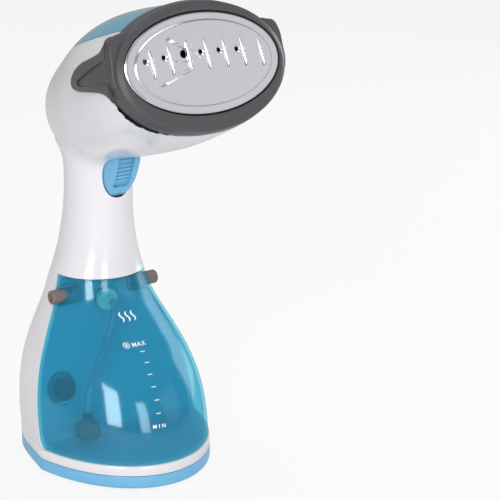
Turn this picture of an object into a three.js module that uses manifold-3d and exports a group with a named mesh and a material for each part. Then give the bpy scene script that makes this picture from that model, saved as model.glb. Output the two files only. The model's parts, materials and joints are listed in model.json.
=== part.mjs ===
// Handheld garment steamer, standing on its base. Millimetres, +Z up.
// The steam plate faces -Y, the spine of the handle faces +Y, and the shells are symmetrical about X = 0.
import * as THREE from 'three';
import { mergeVertices } from 'three/addons/utils/BufferGeometryUtils.js';
import Module from 'manifold-3d';

const wasm = await Module();
wasm.setup();

// ---- Driving dimensions -------------------------------------------------------------------------
const GAP = 0.3;            // clearance between pieces that touch
const WALL = 2.4;           // moulded wall of the housing
const TANK_WALL = 2.0;      // moulded wall of the water tank

const FOOT_HEIGHT = 1.2;    // rubber foot below the base plate
const BAND_TOP = 9.0;       // top of the blue base plate's band
const RIM_TOP = 15.4;       // top of the white base rim
const BASE_CORNER_Y = 10;   // where the rounded nose meets the flatter sides

const TANK_TOP = 117;       // where the tank's shoulder meets the handle
const TANK_CORNER = 5.5;    // rounding of the tank's lower rear corner
const PARTING_LEAN = 0.26;  // the tank's rear edge leans back by this much per mm of height
const SPLIT_Y = 53;         // the rear cover is the part of the spine behind this plane

const SHELL_END = -9;       // the white shell and the top cover stop this far behind the plate
const PLATE_CENTRE = new THREE.Vector3(0, -72.3, 262.8);
const PLATE_TILT = THREE.MathUtils.degToRad(16.6);
const PLATE_HALF_WIDTH = 52.5;
const PLATE_HALF_HEIGHT = 28.4;
const RING_HALF_WIDTH = 58.2;
const RING_HALF_HEIGHT = 37.2;
const RING_DROP = 1.7;      // the ring reaches further below the plate than above it
const HOLE_COUNT = 7;
const HOLE_PITCH = 12.4;

const TRIGGER_PIVOT = new THREE.Vector3(0, 17, 203);
const TRIGGER_TOP = 197;
const TRIGGER_BOTTOM = 168;
const TRIGGER_HALF_WIDTH = 9.8;
const RECESS_HALF_WIDTH = 5.8;
const RECESS_DEPTH = 2.4;
const TRIGGER_CLEARANCE = 0.6;

const BUTTON_X = 33.0;      // middle of a release button
const BUTTON_Y = 28.5;
const BUTTON_Z = 105;
const BUTTON_RADIUS = 4.4;
const BUTTON_LENGTH = 12.6;
const BUTTON_BORE_END = 21.8; // the knob's socket reaches in to this X

const FILLER_X = -38;       // filler plug, low at one side of the tank's back wall
const FILLER_Z = 48;
const SPIGOT_Z = 98;        // water outlet above it
const GLAND_Z = 30;         // cord opening in the spine
const COVER_SCREWS = [['left', -25, 75], ['right', 25, 75], ['top', 0, 163.6]];
const BASE_SCREWS = [['front_left', -32, 2], ['front_right', 32, 2], ['rear_left', -24, 54],
  ['rear_right', 24, 54]];
const FEET = [['front_left', -30, -20], ['front_right', 30, -20], ['rear_left', -36, 44],
  ['rear_right', 36, 44]];
const CHAMBER_SCREWS = [['upper_left', -27, 10], ['upper_right', 30, 9], ['lower_left', -27, -11],
  ['lower_right', 27, -11]];

// ---- Materials ----------------------------------------------------------------------------------
const finish = (color, roughness, more) => new THREE.MeshStandardMaterial({ color, roughness, ...more });
const plastic = (color, roughness) => finish(color, roughness, { metalness: 0 });
const clear = (color, roughness) => finish(color, roughness, { transparent: true, opacity: 0.6 });
const metal = (color, roughness) => finish(color, roughness, { metalness: 1 });
const WHITE = plastic(0xe9e7e8, 0.25);
const BLUE = plastic(0x4fb2d8, 0.3);
const LIGHT_BLUE = plastic(0x6cb4dc, 0.4);
const TANK_BLUE = clear(0x2f9cc8, 0.1);
const CLEAR = clear(0xcfe4ea, 0.2);
const GREY = plastic(0x606060, 0.45);
const BROWN_GREY = plastic(0x7d706a, 0.5);
const DARK = plastic(0x202225, 0.6);
const RUBBER = plastic(0x1b1b1c, 0.85);
const NATURAL = plastic(0xd9d6cc, 0.5);
const POLISHED = metal(0xd6d6da, 0.15);
const STEEL = metal(0xa9abad, 0.35);
const ALUMINIUM = metal(0xb4b5b6, 0.5);
const BRASS = metal(0xc2a35a, 0.35);

// ---- Solids -------------------------------------------------------------------------------------
function solid(geometry) {
  const bare = geometry.clone();
  bare.deleteAttribute('normal');
  bare.deleteAttribute('uv');
  const merged = mergeVertices(bare, 1e-4);
  const vertProperties = new Float32Array(merged.attributes.position.array);
  const triVerts = new Uint32Array(merged.index.array);
  return new wasm.Manifold(new wasm.Mesh({ numProp: 3, vertProperties, triVerts }));
}

function geometryOf(manifold) {
  const mesh = manifold.getMesh();
  const geometry = new THREE.BufferGeometry();
  geometry.setAttribute('position', new THREE.BufferAttribute(new Float32Array(mesh.vertProperties), 3));
  geometry.setIndex(new THREE.BufferAttribute(new Uint32Array(mesh.triVerts), 1));
  geometry.computeVertexNormals();
  return geometry;
}

const cut = (a, ...others) => others.reduce((left, other) => left.subtract(other), a);
const join = (a, ...others) => others.reduce((left, other) => left.add(other), a);

function box(x0, x1, y0, y1, z0, z1) {
  const geometry = new THREE.BoxGeometry(x1 - x0, y1 - y0, z1 - z0);
  geometry.translate((x0 + x1) / 2, (y0 + y1) / 2, (z0 + z1) / 2);
  return geometry;
}

// A cylinder from one point to another.
function rod(from, to, radius, sides = 20, radiusAtEnd = radius) {
  const along = new THREE.Vector3().subVectors(to, from);
  const geometry = new THREE.CylinderGeometry(radiusAtEnd, radius, along.length(), sides);
  geometry.translate(0, along.length() / 2, 0);
  const turn = new THREE.Quaternion().setFromUnitVectors(new THREE.Vector3(0, 1, 0), along.normalize());
  geometry.applyQuaternion(turn);
  geometry.translate(from.x, from.y, from.z);
  return geometry;
}

// A round tube along a curve through the given points.
function tube(points, radius, steps = 24, sides = 10) {
  const section = new THREE.Shape().absarc(0, 0, radius, 0, Math.PI * 2);
  const extrudePath = new THREE.CatmullRomCurve3(points.map((p) => new THREE.Vector3(...p)));
  const options = { steps, curveSegments: sides, bevelEnabled: false, extrudePath };
  return new THREE.ExtrudeGeometry(section, options);
}

// A turned piece: profile is [radius, height] pairs from the axis back to the axis.
function turned(profile, sides = 28) {
  const geometry = new THREE.LatheGeometry(profile.map(([r, h]) => new THREE.Vector2(r, h)), sides);
  geometry.rotateX(Math.PI / 2);
  return geometry;
}

// A coil spring along +Z, from z = 0 to its height.
function coil(radius, wire, height, turns) {
  class Helix extends THREE.Curve {
    getPoint(t, target = new THREE.Vector3()) {
      const angle = t * turns * Math.PI * 2;
      return target.set(radius * Math.cos(angle), radius * Math.sin(angle), wire + t * (height - 2 * wire));
    }
  }
  const section = new THREE.Shape().absarc(0, 0, wire, 0, Math.PI * 2);
  const steps = Math.round(turns * 9);
  const options = { steps, curveSegments: 3, bevelEnabled: false, extrudePath: new Helix() };
  return new THREE.ExtrudeGeometry(section, options);
}

// Turns a shape drawn as (y, z) and pushed along its own z so that it is pushed along X.
const YZ_TO_SPACE = new THREE.Matrix4().makeBasis(
  new THREE.Vector3(0, 1, 0), new THREE.Vector3(0, 0, 1), new THREE.Vector3(1, 0, 0));

// An outline in the YZ plane, given as [y, z] points, pushed through the whole width in X.
function acrossWidth(points, halfWidth) {
  const shape = new THREE.Shape(points.map(([y, z]) => new THREE.Vector2(y, z)));
  const geometry = new THREE.ExtrudeGeometry(shape, { depth: 2 * halfWidth, bevelEnabled: false });
  geometry.translate(0, 0, -halfWidth);
  geometry.applyMatrix4(YZ_TO_SPACE);
  return geometry;
}

// A flat shape drawn as (y, z) made a solid that is centred on X = 0.
function pushedAcross(shape, halfWidth) {
  const options = { depth: 2 * halfWidth, bevelEnabled: false, curveSegments: 5 };
  const geometry = new THREE.ExtrudeGeometry(shape, options);
  geometry.translate(0, 0, -halfWidth);
  geometry.applyMatrix4(YZ_TO_SPACE);
  return solid(geometry);
}

// A smooth curve through stations [position, value], flat beyond its ends.
function through(stations) {
  const slope = stations.map((_, i) => {
    const before = stations[Math.max(i - 1, 0)];
    const after = stations[Math.min(i + 1, stations.length - 1)];
    return (after[1] - before[1]) / (after[0] - before[0]);
  });
  return (position) => {
    const last = stations.length - 1;
    if (position <= stations[0][0]) return stations[0][1];
    if (position >= stations[last][0]) return stations[last][1];
    const i = stations.findIndex((s) => s[0] > position) - 1;
    const span = stations[i + 1][0] - stations[i][0];
    const t = (position - stations[i][0]) / span;
    const a = stations[i][1];
    const b = stations[i + 1][1];
    const h = t * t * (3 - 2 * t);
    return a + (b - a) * h + span * (slope[i] * t * (1 - t) ** 2 - slope[i + 1] * t * t * (1 - t));
  };
}

// A capped skin: a unit cylinder whose every vertex is placed by (level 0..1, angle, reach 0..1).
// Angle 0 points to -Y and a quarter turn points to +X.
function skin(place, around, levels) {
  const geometry = new THREE.CylinderGeometry(1, 1, 1, around, levels);
  geometry.rotateX(Math.PI / 2);
  const position = geometry.attributes.position;
  for (let i = 0; i < position.count; i += 1) {
    const x = position.getX(i);
    const y = position.getY(i);
    const point = place(position.getZ(i) + 0.5, Math.atan2(x, -y), Math.min(1, Math.hypot(x, y)));
    position.setXYZ(i, point.x, point.y, point.z);
  }
  return geometry;
}

const power = (value, exponent) => Math.sign(value) * Math.abs(value) ** exponent;

// ---- Body: base, tank and handle ----------------------------------------------------------------
const bodyHalfWidth = through([[0, 59.3], [17, 59], [30, 58.8], [46, 57], [64, 52.3], [81, 45], [99, 36],
  [117, 29.6], [132, 25], [150, 22], [165, 21], [182, 21.2], [192, 22.5], [200, 25]]);
const bodyFrontY = through([[0, -52.8], [17, -51], [30, -49.5], [42, -46.5], [55, -40.5], [70, -29],
  [85, -14], [103, 1], [117, 7.5], [132, 10], [150, 11], [182, 10.5], [192, 8], [200, 3]]);
const bodyMidY = through([[0, 10], [17, 10.5], [106, 34], [130, 35], [200, 35]]);
const bodyBackY = through([[0, 65], [20, 65.5], [60, 66.5], [90, 65], [117, 62], [150, 58], [175, 56],
  [200, 57]]);
// Degrees of the nose's ellipse from its tip to the corner where the flatter sides begin.
const noseTurn = through([[0, 75], [30, 77], [60, 83], [90, 88], [117, 90]]);
const backExponent = through([[0, 5], [60, 4.2], [110, 2.6], [150, 2.1], [200, 2]]);
const sideTaper = through([[0, 0.18], [80, 0.09], [120, 0.02], [140, 0]]);

function nosePoint(z, angle, inset) {
  const corner = THREE.MathUtils.degToRad(noseTurn(z));
  const turn = angle * corner / (Math.PI / 2);
  const x = (bodyHalfWidth(z) - inset) * Math.sin(turn) / Math.sin(corner);
  const along = (Math.cos(turn) - Math.cos(corner)) / (1 - Math.cos(corner));
  return [x, -along * (bodyMidY(z) - bodyFrontY(z) - inset)];
}

function backPoint(z, angle, inset) {
  const exponent = 2 / backExponent(z);
  const along = -power(Math.cos(angle), exponent);
  const x = (bodyHalfWidth(z) - inset) * power(Math.sin(angle), exponent) * (1 - sideTaper(z) * along);
  return [x, along * (bodyBackY(z) - bodyMidY(z) - inset)];
}

function bodyPoint(z, angle, reach, inset) {
  const [x, y] = Math.cos(angle) > 0 ? nosePoint(z, angle, inset) : backPoint(z, angle, inset);
  return new THREE.Vector3(x * reach, bodyMidY(z) + y * reach, z);
}

function body(zLow, zHigh, inset, levels = 12, around = 32) {
  return skin((t, angle, reach) => bodyPoint(zLow + (zHigh - zLow) * t, angle, reach, inset), around, levels);
}

// ---- Head: from the heel over the handle to the plate -------------------------------------------
const HEEL_Y = 69.5;
const HEAD_FRONT_Y = -88;
const headTop = through([[-88, 296.5], [-60, 294.2], [-36, 290.5], [-11, 284.5], [9, 277], [26, 268],
  [41, 257.5], [52, 248.5], [61, 239], [66.5, 230], [69.5, 221]]);
const headBottom = through([[-88, 232], [-77, 224.5], [-66, 217.5], [-47, 208.5], [-24, 201], [-5, 196],
  [12, 191.5], [30, 189], [46, 190], [56, 195], [64, 204], [69.5, 221]]);
const headHalfWidth = through([[-88, 59], [-60, 57], [-36, 53], [-11, 47], [10, 41], [26, 35.5], [40, 30.5],
  [52, 26.5], [60, 21.5], [66, 14.5], [69.5, 0.5]]);

// Slices are crowded towards the heel, where the surface turns quickly.
function headSliceY(t) {
  return HEAD_FRONT_Y + (HEEL_Y - HEAD_FRONT_Y) * Math.sin(t * Math.PI / 2);
}

function headPoint(t, angle, reach, inset) {
  const y = headSliceY(t);
  const shrink = t > 0.97 ? Math.max(0, (1 - t) / 0.03) : 1;
  const high = headTop(y) - inset * shrink;
  const low = headBottom(y) + inset * shrink;
  const centre = (high + low) / 2;
  const halfHeight = Math.max((high - low) / 2, 0.2);
  const halfWidth = Math.max(headHalfWidth(y) - inset * shrink, 0.2);
  const exponent = 2 / 2.15;
  const x = halfWidth * power(Math.sin(angle), exponent) * reach;
  const z = centre + halfHeight * power(Math.cos(angle), exponent) * reach;
  return new THREE.Vector3(x, y - inset * Math.sin(t * Math.PI / 2), z);
}

// Angle 0 is the top of the head; the slices run from the plate to the heel.
function head(inset, levels = 12, around = 28) {
  return skin((t, angle, reach) => headPoint(t, angle, reach, inset), around, levels);
}

// Moves a piece from the plate's own frame into place: x across, y up the plate, z out of it.
function atPlate(geometry) {
  geometry.rotateX(Math.PI / 2 - PLATE_TILT);
  geometry.translate(PLATE_CENTRE.x, PLATE_CENTRE.y, PLATE_CENTRE.z);
  return geometry;
}

// An oval prism square to the plate, in the plate's own frame.
function oval(halfWidth, halfHeight, low, high, drop = 0, sides = 40) {
  const geometry = new THREE.CylinderGeometry(1, 1, high - low, sides);
  geometry.rotateX(Math.PI / 2);
  geometry.scale(halfWidth, halfHeight, 1);
  geometry.translate(0, -drop, (low + high) / 2);
  return geometry;
}

// ---- Regions that divide the shells -------------------------------------------------------------
const FAR = 200;
const partingY = (z) => BASE_CORNER_Y + (z - RIM_TOP) * PARTING_LEAN;

// Everything in front of the tank's leaning rear edge and below its shoulder.
function tankRegion(gap) {
  const top = TANK_TOP - gap;
  const low = RIM_TOP + gap;
  const outline = new THREE.Shape();
  outline.moveTo(-FAR, low);
  outline.lineTo(partingY(low) - gap - TANK_CORNER, low);
  outline.quadraticCurveTo(partingY(low) - gap, low, partingY(low + TANK_CORNER) - gap, low + TANK_CORNER);
  outline.lineTo(partingY(top) - gap, top);
  outline.lineTo(-FAR, top);
  return solid(acrossWidth(outline.getPoints(4).map((p) => [p.x, p.y]), FAR));
}

// Everything above the seam of the blue top cover.
const seamZ = (y) => 267 - 0.28 * y;
function topRegion(gap) {
  const top = 2 * FAR;
  const seam = [[-FAR, seamZ(-FAR) + gap], [FAR, seamZ(FAR) + gap]];
  return solid(acrossWidth([...seam, [FAR, top], [-FAR, top]], FAR));
}

function behindPlane(y, zLow, zHigh) {
  return solid(box(-FAR, FAR, y, FAR, zLow, zHigh));
}

// ---- Assembly -----------------------------------------------------------------------------------
const steamer = new THREE.Group();
steamer.name = 'garment_steamer';

function add(name, shape, material) {
  const geometry = shape instanceof THREE.BufferGeometry ? shape : geometryOf(shape);
  const mesh = new THREE.Mesh(geometry, material);
  mesh.name = name;
  steamer.add(mesh);
  return mesh;
}

const mirrored = (geometry) => geometryOf(solid(geometry).mirror([1, 0, 0]));

// ---- Housing ------------------------------------------------------------------------------------
const HOUSING_TOP_CUT = 199;
const headOuter = solid(head(0));
const headInner = solid(head(WALL));
const bodyOuter = solid(body(RIM_TOP + GAP, HOUSING_TOP_CUT, 0));
const bodyInner = solid(body(RIM_TOP - 2, HOUSING_TOP_CUT + 2, WALL));

// The plane behind which the head is white shell and in front of which it is bezel.
const shellFront = solid(atPlate(oval(FAR, FAR, SHELL_END, FAR)));

// The room inside stops short of the tank, which leaves the leaning wall that the tank docks against
// and the shelf above it.
const room = cut(join(bodyInner, headInner), tankRegion(-GAP - WALL));

// Bosses that the rear cover is screwed to.
const BOSS_END_Y = SPLIT_Y - 0.8;
function coverBoss(x, z) {
  const frontY = z < TANK_TOP ? partingY(z) + 1 : 12;
  const post = rod(new THREE.Vector3(x, frontY, z), new THREE.Vector3(x, BOSS_END_Y, z), 3.6, 14);
  const pilot = rod(new THREE.Vector3(x, 38, z), new THREE.Vector3(x, SPLIT_Y + 2, z), 1.7, 10);
  return cut(solid(post), solid(pilot));
}

function coverSocket(x, z) {
  const socket = rod(new THREE.Vector3(x, SPLIT_Y + 0.2, z), new THREE.Vector3(x, 100, z), 5, 14);
  return solid(socket).intersect(join(bodyOuter, headOuter));
}

function coverScrewHole(x, z) {
  const shank = rod(new THREE.Vector3(x, 20, z), new THREE.Vector3(x, 100, z), 1.8, 10);
  const headRoom = rod(new THREE.Vector3(x, SPLIT_Y + 2.4, z), new THREE.Vector3(x, 100, z), 3.4, 14);
  return join(solid(shank), solid(headRoom));
}

// A point on the plane of symmetry.
const middle = (y, z) => new THREE.Vector3(0, y, z);
const spigotHole = solid(rod(middle(20, SPIGOT_Z), middle(50, SPIGOT_Z), 5.2));

const shell = cut(join(bodyOuter, headOuter), room, shellFront, tankRegion(-GAP));
const rearRegion = (gap) => behindPlane(SPLIT_Y + gap, RIM_TOP - 5, 232 - gap);
const bosses = COVER_SCREWS.map(([, x, z]) => coverBoss(x, z));
const triggerOpening = triggerFront(TRIGGER_CLEARANCE).intersect(solid(box(-30, 30, -30, 18, 150, 198.5)));
const frontShell = cut(shell, topRegion(-GAP), rearRegion(-GAP), triggerOpening);
const plugRoom = solid(rod(new THREE.Vector3(FILLER_X, 0, FILLER_Z),
  new THREE.Vector3(FILLER_X, 34, FILLER_Z), 10.5));
// A rib behind the trigger's spring, and a bar each side that carries the trigger's pivot pin.
const springRib = solid(box(-25, 25, 23.6, 25.6, 186.6, 193.5)).intersect(join(bodyOuter, headOuter));
function pivotBar(side) {
  const reach = [side * 10.7, side * 40].sort((a, b) => a - b);
  const bar = solid(box(...reach, 14, 20, 199.5, 206.5)).intersect(headOuter);
  const along = (x) => new THREE.Vector3(x, TRIGGER_PIVOT.y, TRIGGER_PIVOT.z);
  return cut(bar, solid(rod(along(side * 5), along(side * 13.4), 1.8, 12)));
}
const openShell = cut(frontShell, spigotHole, plugRoom);
add('main_housing', join(openShell, ...bosses, springRib, pivotBar(-1), pivotBar(1)), WHITE);

const glandHole = solid(rod(middle(40, GLAND_Z), middle(80, GLAND_Z), 7.1, 22));
const sockets = COVER_SCREWS.map(([, x, z]) => coverSocket(x, z));
const screwHoles = COVER_SCREWS.map(([, x, z]) => coverScrewHole(x, z));
add('rear_cover', cut(join(shell.intersect(rearRegion(0)), ...sockets), ...screwHoles, glandHole), WHITE);
add('top_cover', cut(cut(headOuter, headInner, shellFront).intersect(topRegion(0)), rearRegion(-GAP)), BLUE);

// A pan-head screw along an axis, its head at the given point.
function screw(headAt, into, length, headRadius = 3, shankRadius = 1.4) {
  const inwards = (distance) => headAt.clone().addScaledVector(into, distance);
  const shank = rod(inwards(1), inwards(length), shankRadius, 10);
  const slot = box(-0.5, 0.5, -5, 5, -0.5, 0.9);
  const turn = new THREE.Quaternion().setFromUnitVectors(new THREE.Vector3(0, 0, 1), into);
  slot.applyQuaternion(turn);
  slot.translate(headAt.x, headAt.y, headAt.z);
  return cut(join(solid(rod(headAt, inwards(2), headRadius, 14)), solid(shank)), solid(slot));
}
const FORWARD = new THREE.Vector3(0, -1, 0);
for (const [place, x, z] of COVER_SCREWS) {
  add(`cover_screw_${place}`, screw(new THREE.Vector3(x, SPLIT_Y + 4.7, z), FORWARD, 16), STEEL);
}

// ---- Base ---------------------------------------------------------------------------------------
const SKIRT_WALL = 2.2;
const upright = (x, y, low, high, radius, sides = 14) => solid(
  rod(new THREE.Vector3(x, y, low), new THREE.Vector3(x, y, high), radius, sides));

function basePlate() {
  const tray = solid(body(FOOT_HEIGHT, BAND_TOP, 0, 1));
  let plate = cut(tray, solid(body(FOOT_HEIGHT + SKIRT_WALL, BAND_TOP + 1, SKIRT_WALL, 1)));
  for (const [, x, y] of BASE_SCREWS) {
    plate = cut(join(plate, upright(x, y, FOOT_HEIGHT + 1, BAND_TOP, 5)), upright(x, y, 0, 20, 1.8, 10),
      upright(x, y, 0, FOOT_HEIGHT + 3, 3.4));
  }
  return plate;
}

function baseRim() {
  const lid = solid(body(BAND_TOP + GAP, RIM_TOP, 0, 1));
  let rim = cut(lid, solid(body(BAND_TOP - 1, RIM_TOP - SKIRT_WALL, SKIRT_WALL, 1)));
  for (const [, x, y] of BASE_SCREWS) {
    const post = upright(x, y, BAND_TOP + GAP, RIM_TOP - 1, 4);
    rim = cut(join(rim, post), upright(x, y, 0, RIM_TOP - 1.4, 1.7, 10));
  }
  return rim;
}
const UP = new THREE.Vector3(0, 0, 1);
for (const [place, x, y] of BASE_SCREWS) {
  add(`base_screw_${place}`, screw(new THREE.Vector3(x, y, FOOT_HEIGHT + 0.7), UP, 11, 3, 1.4), STEEL);
}
add('base_plate', basePlate(), LIGHT_BLUE);
add('base_rim', baseRim(), WHITE);

// ---- Tank ---------------------------------------------------------------------------------------
const buttonRod = (side, from, to, radius) => solid(rod(new THREE.Vector3(side * from, BUTTON_Y, BUTTON_Z),
  new THREE.Vector3(side * to, BUTTON_Y, BUTTON_Z), radius));

function waterTank() {
  const outer = solid(body(RIM_TOP - 1, TANK_TOP + 4, 0.6)).intersect(tankRegion(GAP));
  const inner = solid(body(RIM_TOP + GAP + TANK_WALL, TANK_TOP + 4, 0.6 + TANK_WALL));
  const ceiling = TANK_TOP - GAP - TANK_WALL;
  const hollow = inner.intersect(solid(box(-FAR, FAR, -FAR, FAR, 0, ceiling)));
  let tub = cut(outer, hollow);
  for (const side of [-1, 1]) {
    const cup = buttonRod(side, BUTTON_BORE_END - 1.8, 60, BUTTON_RADIUS + 2).intersect(outer);
    tub = cut(join(tub, cup), buttonRod(side, BUTTON_BORE_END, 60, BUTTON_RADIUS + GAP));
  }
  return tub;
}
add('water_tank', waterTank(), TANK_BLUE);

function tankBackWall() {
  const low = RIM_TOP + GAP + TANK_WALL + GAP;
  const high = TANK_TOP - TANK_WALL - 1.2;
  const slab = solid(acrossWidth([[partingY(low) - GAP - 2.2, low], [partingY(low) - GAP, low],
    [partingY(high) - GAP, high], [partingY(high) - GAP - 2.2, high]], FAR));
  const plate = slab.intersect(solid(body(RIM_TOP, TANK_TOP, 0.6 + TANK_WALL + GAP)));
  const socketRoom = [-1, 1].map((side) => buttonRod(side, BUTTON_BORE_END - 2.2, 60, BUTTON_RADIUS + 2.4));
  return cut(plate, solid(fillerBore(7)), spigotHole, ...socketRoom);
}

// The filler opening is square to the back wall.
const WALL_NORMAL = new THREE.Vector3(0, 1, -PARTING_LEAN).normalize();
const FILLER = new THREE.Vector3(FILLER_X, partingY(FILLER_Z), FILLER_Z);
const alongFiller = (distance) => FILLER.clone().addScaledVector(WALL_NORMAL, distance);
const fillerBore = (radius) => rod(alongFiller(-12), alongFiller(6), radius);
function fillerPlug() {
  const stem = solid(rod(alongFiller(-5), alongFiller(0.5), 7 - GAP));
  const grip = solid(rod(alongFiller(0.1), alongFiller(3.4), 8.4));
  return join(stem, grip);
}
add('tank_back_wall', tankBackWall(), TANK_BLUE);
add('tank_filler_plug', fillerPlug(), RUBBER);

// A distance behind the tank's rear edge, on the spigot's axis.
const spigotAt = (offset) => middle(partingY(SPIGOT_Z) + offset, SPIGOT_Z);
function tankSpigot() {
  const pipe = solid(rod(spigotAt(-12), spigotAt(7), 3.2));
  const collar = solid(rod(spigotAt(-8), spigotAt(-5.2), 7));
  const bore = solid(rod(spigotAt(-20), spigotAt(20), 1.7));
  return cut(join(pipe, collar), bore);
}
add('tank_spigot', tankSpigot(), NATURAL);

function ring(from, to, outer, inner, sides = 20) {
  const past = new THREE.Vector3().subVectors(to, from).normalize();
  const bore = rod(from.clone().sub(past), to.clone().add(past), inner, sides);
  return cut(solid(rod(from, to, outer, sides)), solid(bore));
}
add('spigot_seal', ring(spigotAt(3.4), spigotAt(6.4), 5, 3.2 + GAP), RUBBER);

// Soft suction tube from the spigot to the filter, which hangs close above the tank's floor.
const FILTER = new THREE.Vector3(-31, -0.5, 21.5);
const TUBE_TOP = spigotAt(-13.5);
add('suction_tube', tube([[0, TUBE_TOP.y, TUBE_TOP.z], [-1, TUBE_TOP.y - 4, 96], [-7, 11, 80], [-20, 6, 63],
  [-30.3, -0.1, 46], [FILTER.x, FILTER.y, FILTER.z + 15.6]], 2.6, 16, 4), CLEAR);
function suctionFilter() {
  const bell = turned([[0, 0], [8, 0], [8, 5], [6.5, 8.5], [3.4, 10.5], [3.2, 15], [0, 15]], 20);
  bell.translate(FILTER.x, FILTER.y, FILTER.z);
  return bell;
}
add('suction_filter', suctionFilter(), DARK);

// Release buttons: each is a plunger square to the tank's side, on its own small spring.
function buttonPlunger() {
  const rim = BUTTON_RADIUS - 1;
  const profile = [[0, 0], [BUTTON_RADIUS, 0], [BUTTON_RADIUS, BUTTON_LENGTH - 1.2], [rim, BUTTON_LENGTH],
    [2.5, BUTTON_LENGTH], [2.1, BUTTON_LENGTH - 1.4], [0, BUTTON_LENGTH - 1.4]];
  const plunger = turned(profile, 20);
  plunger.rotateY(Math.PI / 2);
  plunger.translate(BUTTON_X - BUTTON_LENGTH / 2, BUTTON_Y, BUTTON_Z);
  return plunger;
}
add('release_button_right', buttonPlunger(), BROWN_GREY);
add('release_button_left', mirrored(buttonPlunger()), BROWN_GREY);

function buttonSpring() {
  const spring = coil(2.6, 0.35, BUTTON_X - BUTTON_LENGTH / 2 - BUTTON_BORE_END - 2 * GAP, 3);
  spring.rotateY(Math.PI / 2);
  spring.translate(BUTTON_BORE_END + GAP, BUTTON_Y, BUTTON_Z);
  return spring;
}
add('button_spring_right', buttonSpring(), STEEL);
add('button_spring_left', mirrored(buttonSpring()), STEEL);

// ---- Front of the head: bezel, gasket and steam plate -------------------------------------------
const BEZEL_BACK = -8.7;
const BEZEL_FRONT = 2.4;
function bezelRing() {
  const depth = BEZEL_FRONT - BEZEL_BACK;
  const geometry = new THREE.CylinderGeometry(1, 1, 1, 40, 3);
  geometry.rotateX(Math.PI / 2);
  const position = geometry.attributes.position;
  const steps = [[0, 0.3], [0.5, 0.3], [0.85, -1.2], [1, -4]];
  for (let i = 0; i < position.count; i += 1) {
    const level = Math.round((position.getZ(i) + 0.5) * 3);
    const [height, swell] = steps[level];
    position.setXYZ(i, position.getX(i) * (RING_HALF_WIDTH + swell),
      position.getY(i) * (RING_HALF_HEIGHT + swell) - RING_DROP, BEZEL_BACK + depth * height);
  }
  return solid(atPlate(geometry));
}

// A side ear follows the head's flank behind the ring.
const EAR_OUTLINE = [[-80, 288], [-71, 281.5], [-63, 279.6], [-60, 275.9], [-56.5, 271.6],
  [-41.5, 266.3], [-27, 261.1], [-18, 255.2], [-14.8, 249.6], [-16.2, 246.8], [-19.5, 245.4],
  [-29.8, 245.7], [-47.8, 248.8], [-62, 250.8], [-69.5, 249], [-75.2, 240.3], [-80, 229.4],
  [-92, 226]];
const EAR_THICKNESS = 2.4;
// It thickens to a shoulder beside the upper part of the ring.
const EAR_SHOULDER = 5.6;
function earPoint(t, angle, reach) {
  const bare = headPoint(t, angle, reach, 0);
  const upward = THREE.MathUtils.smoothstep(bare.z, 262, 278);
  const forward = THREE.MathUtils.smoothstep(-bare.y, 25, 50);
  return headPoint(t, angle, reach, -EAR_THICKNESS - EAR_SHOULDER * upward * forward);
}
const headSwollen = solid(skin(earPoint, 28, 12));
const LIP_BACK = 1.5;       // the ring's lip covers the gasket in front of this height
const plateHole = join(
  solid(atPlate(oval(PLATE_HALF_WIDTH + 1.4, PLATE_HALF_HEIGHT + 1.4, -20, LIP_BACK))),
  solid(atPlate(oval(PLATE_HALF_WIDTH + 0.5, PLATE_HALF_HEIGHT + 0.5, 0, 20))),
);
const bezelPlain = cut(bezelRing(), plateHole);
const ears = cut(headSwollen, solid(head(-GAP)), solid(atPlate(oval(FAR, FAR, -6, FAR))))
  .intersect(solid(acrossWidth(EAR_OUTLINE, FAR)));

// Beside the ring each ear ends in a tab that stands up to the ring's bevel.
const TAB_OUTLINE = [[44, 20], [45.9, 21.9], [50, 20.8], [53.4, 20.4], [55.6, 19], [57, 16.5],
  [58.6, 12], [58.8, 5], [59.5, -2], [58, -9], [50, -9], [40, 0]];
const TAB_FRONT = -0.5;
function tab(side) {
  const outline = new THREE.Shape(TAB_OUTLINE.map(([x, y]) => new THREE.Vector2(x, y)));
  const depth = TAB_FRONT - BEZEL_BACK;
  const geometry = new THREE.ExtrudeGeometry(outline, { depth, bevelEnabled: false });
  geometry.translate(0, 0, BEZEL_BACK);
  const shape = solid(atPlate(geometry));
  return cut(side < 0 ? shape.mirror([1, 0, 0]) : shape, plateHole);
}
add('bezel', join(bezelPlain, ears, tab(-1), tab(1)), GREY);

function gasket() {
  const outer = solid(atPlate(oval(PLATE_HALF_WIDTH + 1.1, PLATE_HALF_HEIGHT + 1.1, -5, 1.2)));
  const inner = solid(atPlate(oval(PLATE_HALF_WIDTH + 0.3, PLATE_HALF_HEIGHT + 0.3, -8, 8)));
  return cut(outer, inner);
}
add('plate_gasket', gasket(), RUBBER);

const holeX = (index) => (index - (HOLE_COUNT - 1) / 2) * HOLE_PITCH - 1.6;
const holeY = (x) => 6.2 - 0.0013 * x * x;
function steamPlate() {
  const slab = solid(atPlate(oval(PLATE_HALF_WIDTH, PLATE_HALF_HEIGHT, -2.5, 2.2)));
  const raised = solid(atPlate(oval(PLATE_HALF_WIDTH - 7, PLATE_HALF_HEIGHT - 5, 1, 3.2)));
  let plate = join(slab, raised);
  for (let i = 0; i < HOLE_COUNT; i += 1) {
    const x = holeX(i);
    const y = holeY(x);
    const hole = new THREE.CylinderGeometry(1.3, 1.3, 20, 10);
    hole.rotateX(Math.PI / 2);
    hole.translate(x, y, 0);
    const groove = new THREE.SphereGeometry(1, 6, 4);
    groove.scale(1.7, 9.2, 1.4);
    groove.translate(x + 2.2, y - 2, 3.2);
    plate = cut(plate, solid(atPlate(hole)), solid(atPlate(groove)));
  }
  return plate;
}
add('steam_plate', steamPlate(), POLISHED);

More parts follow.
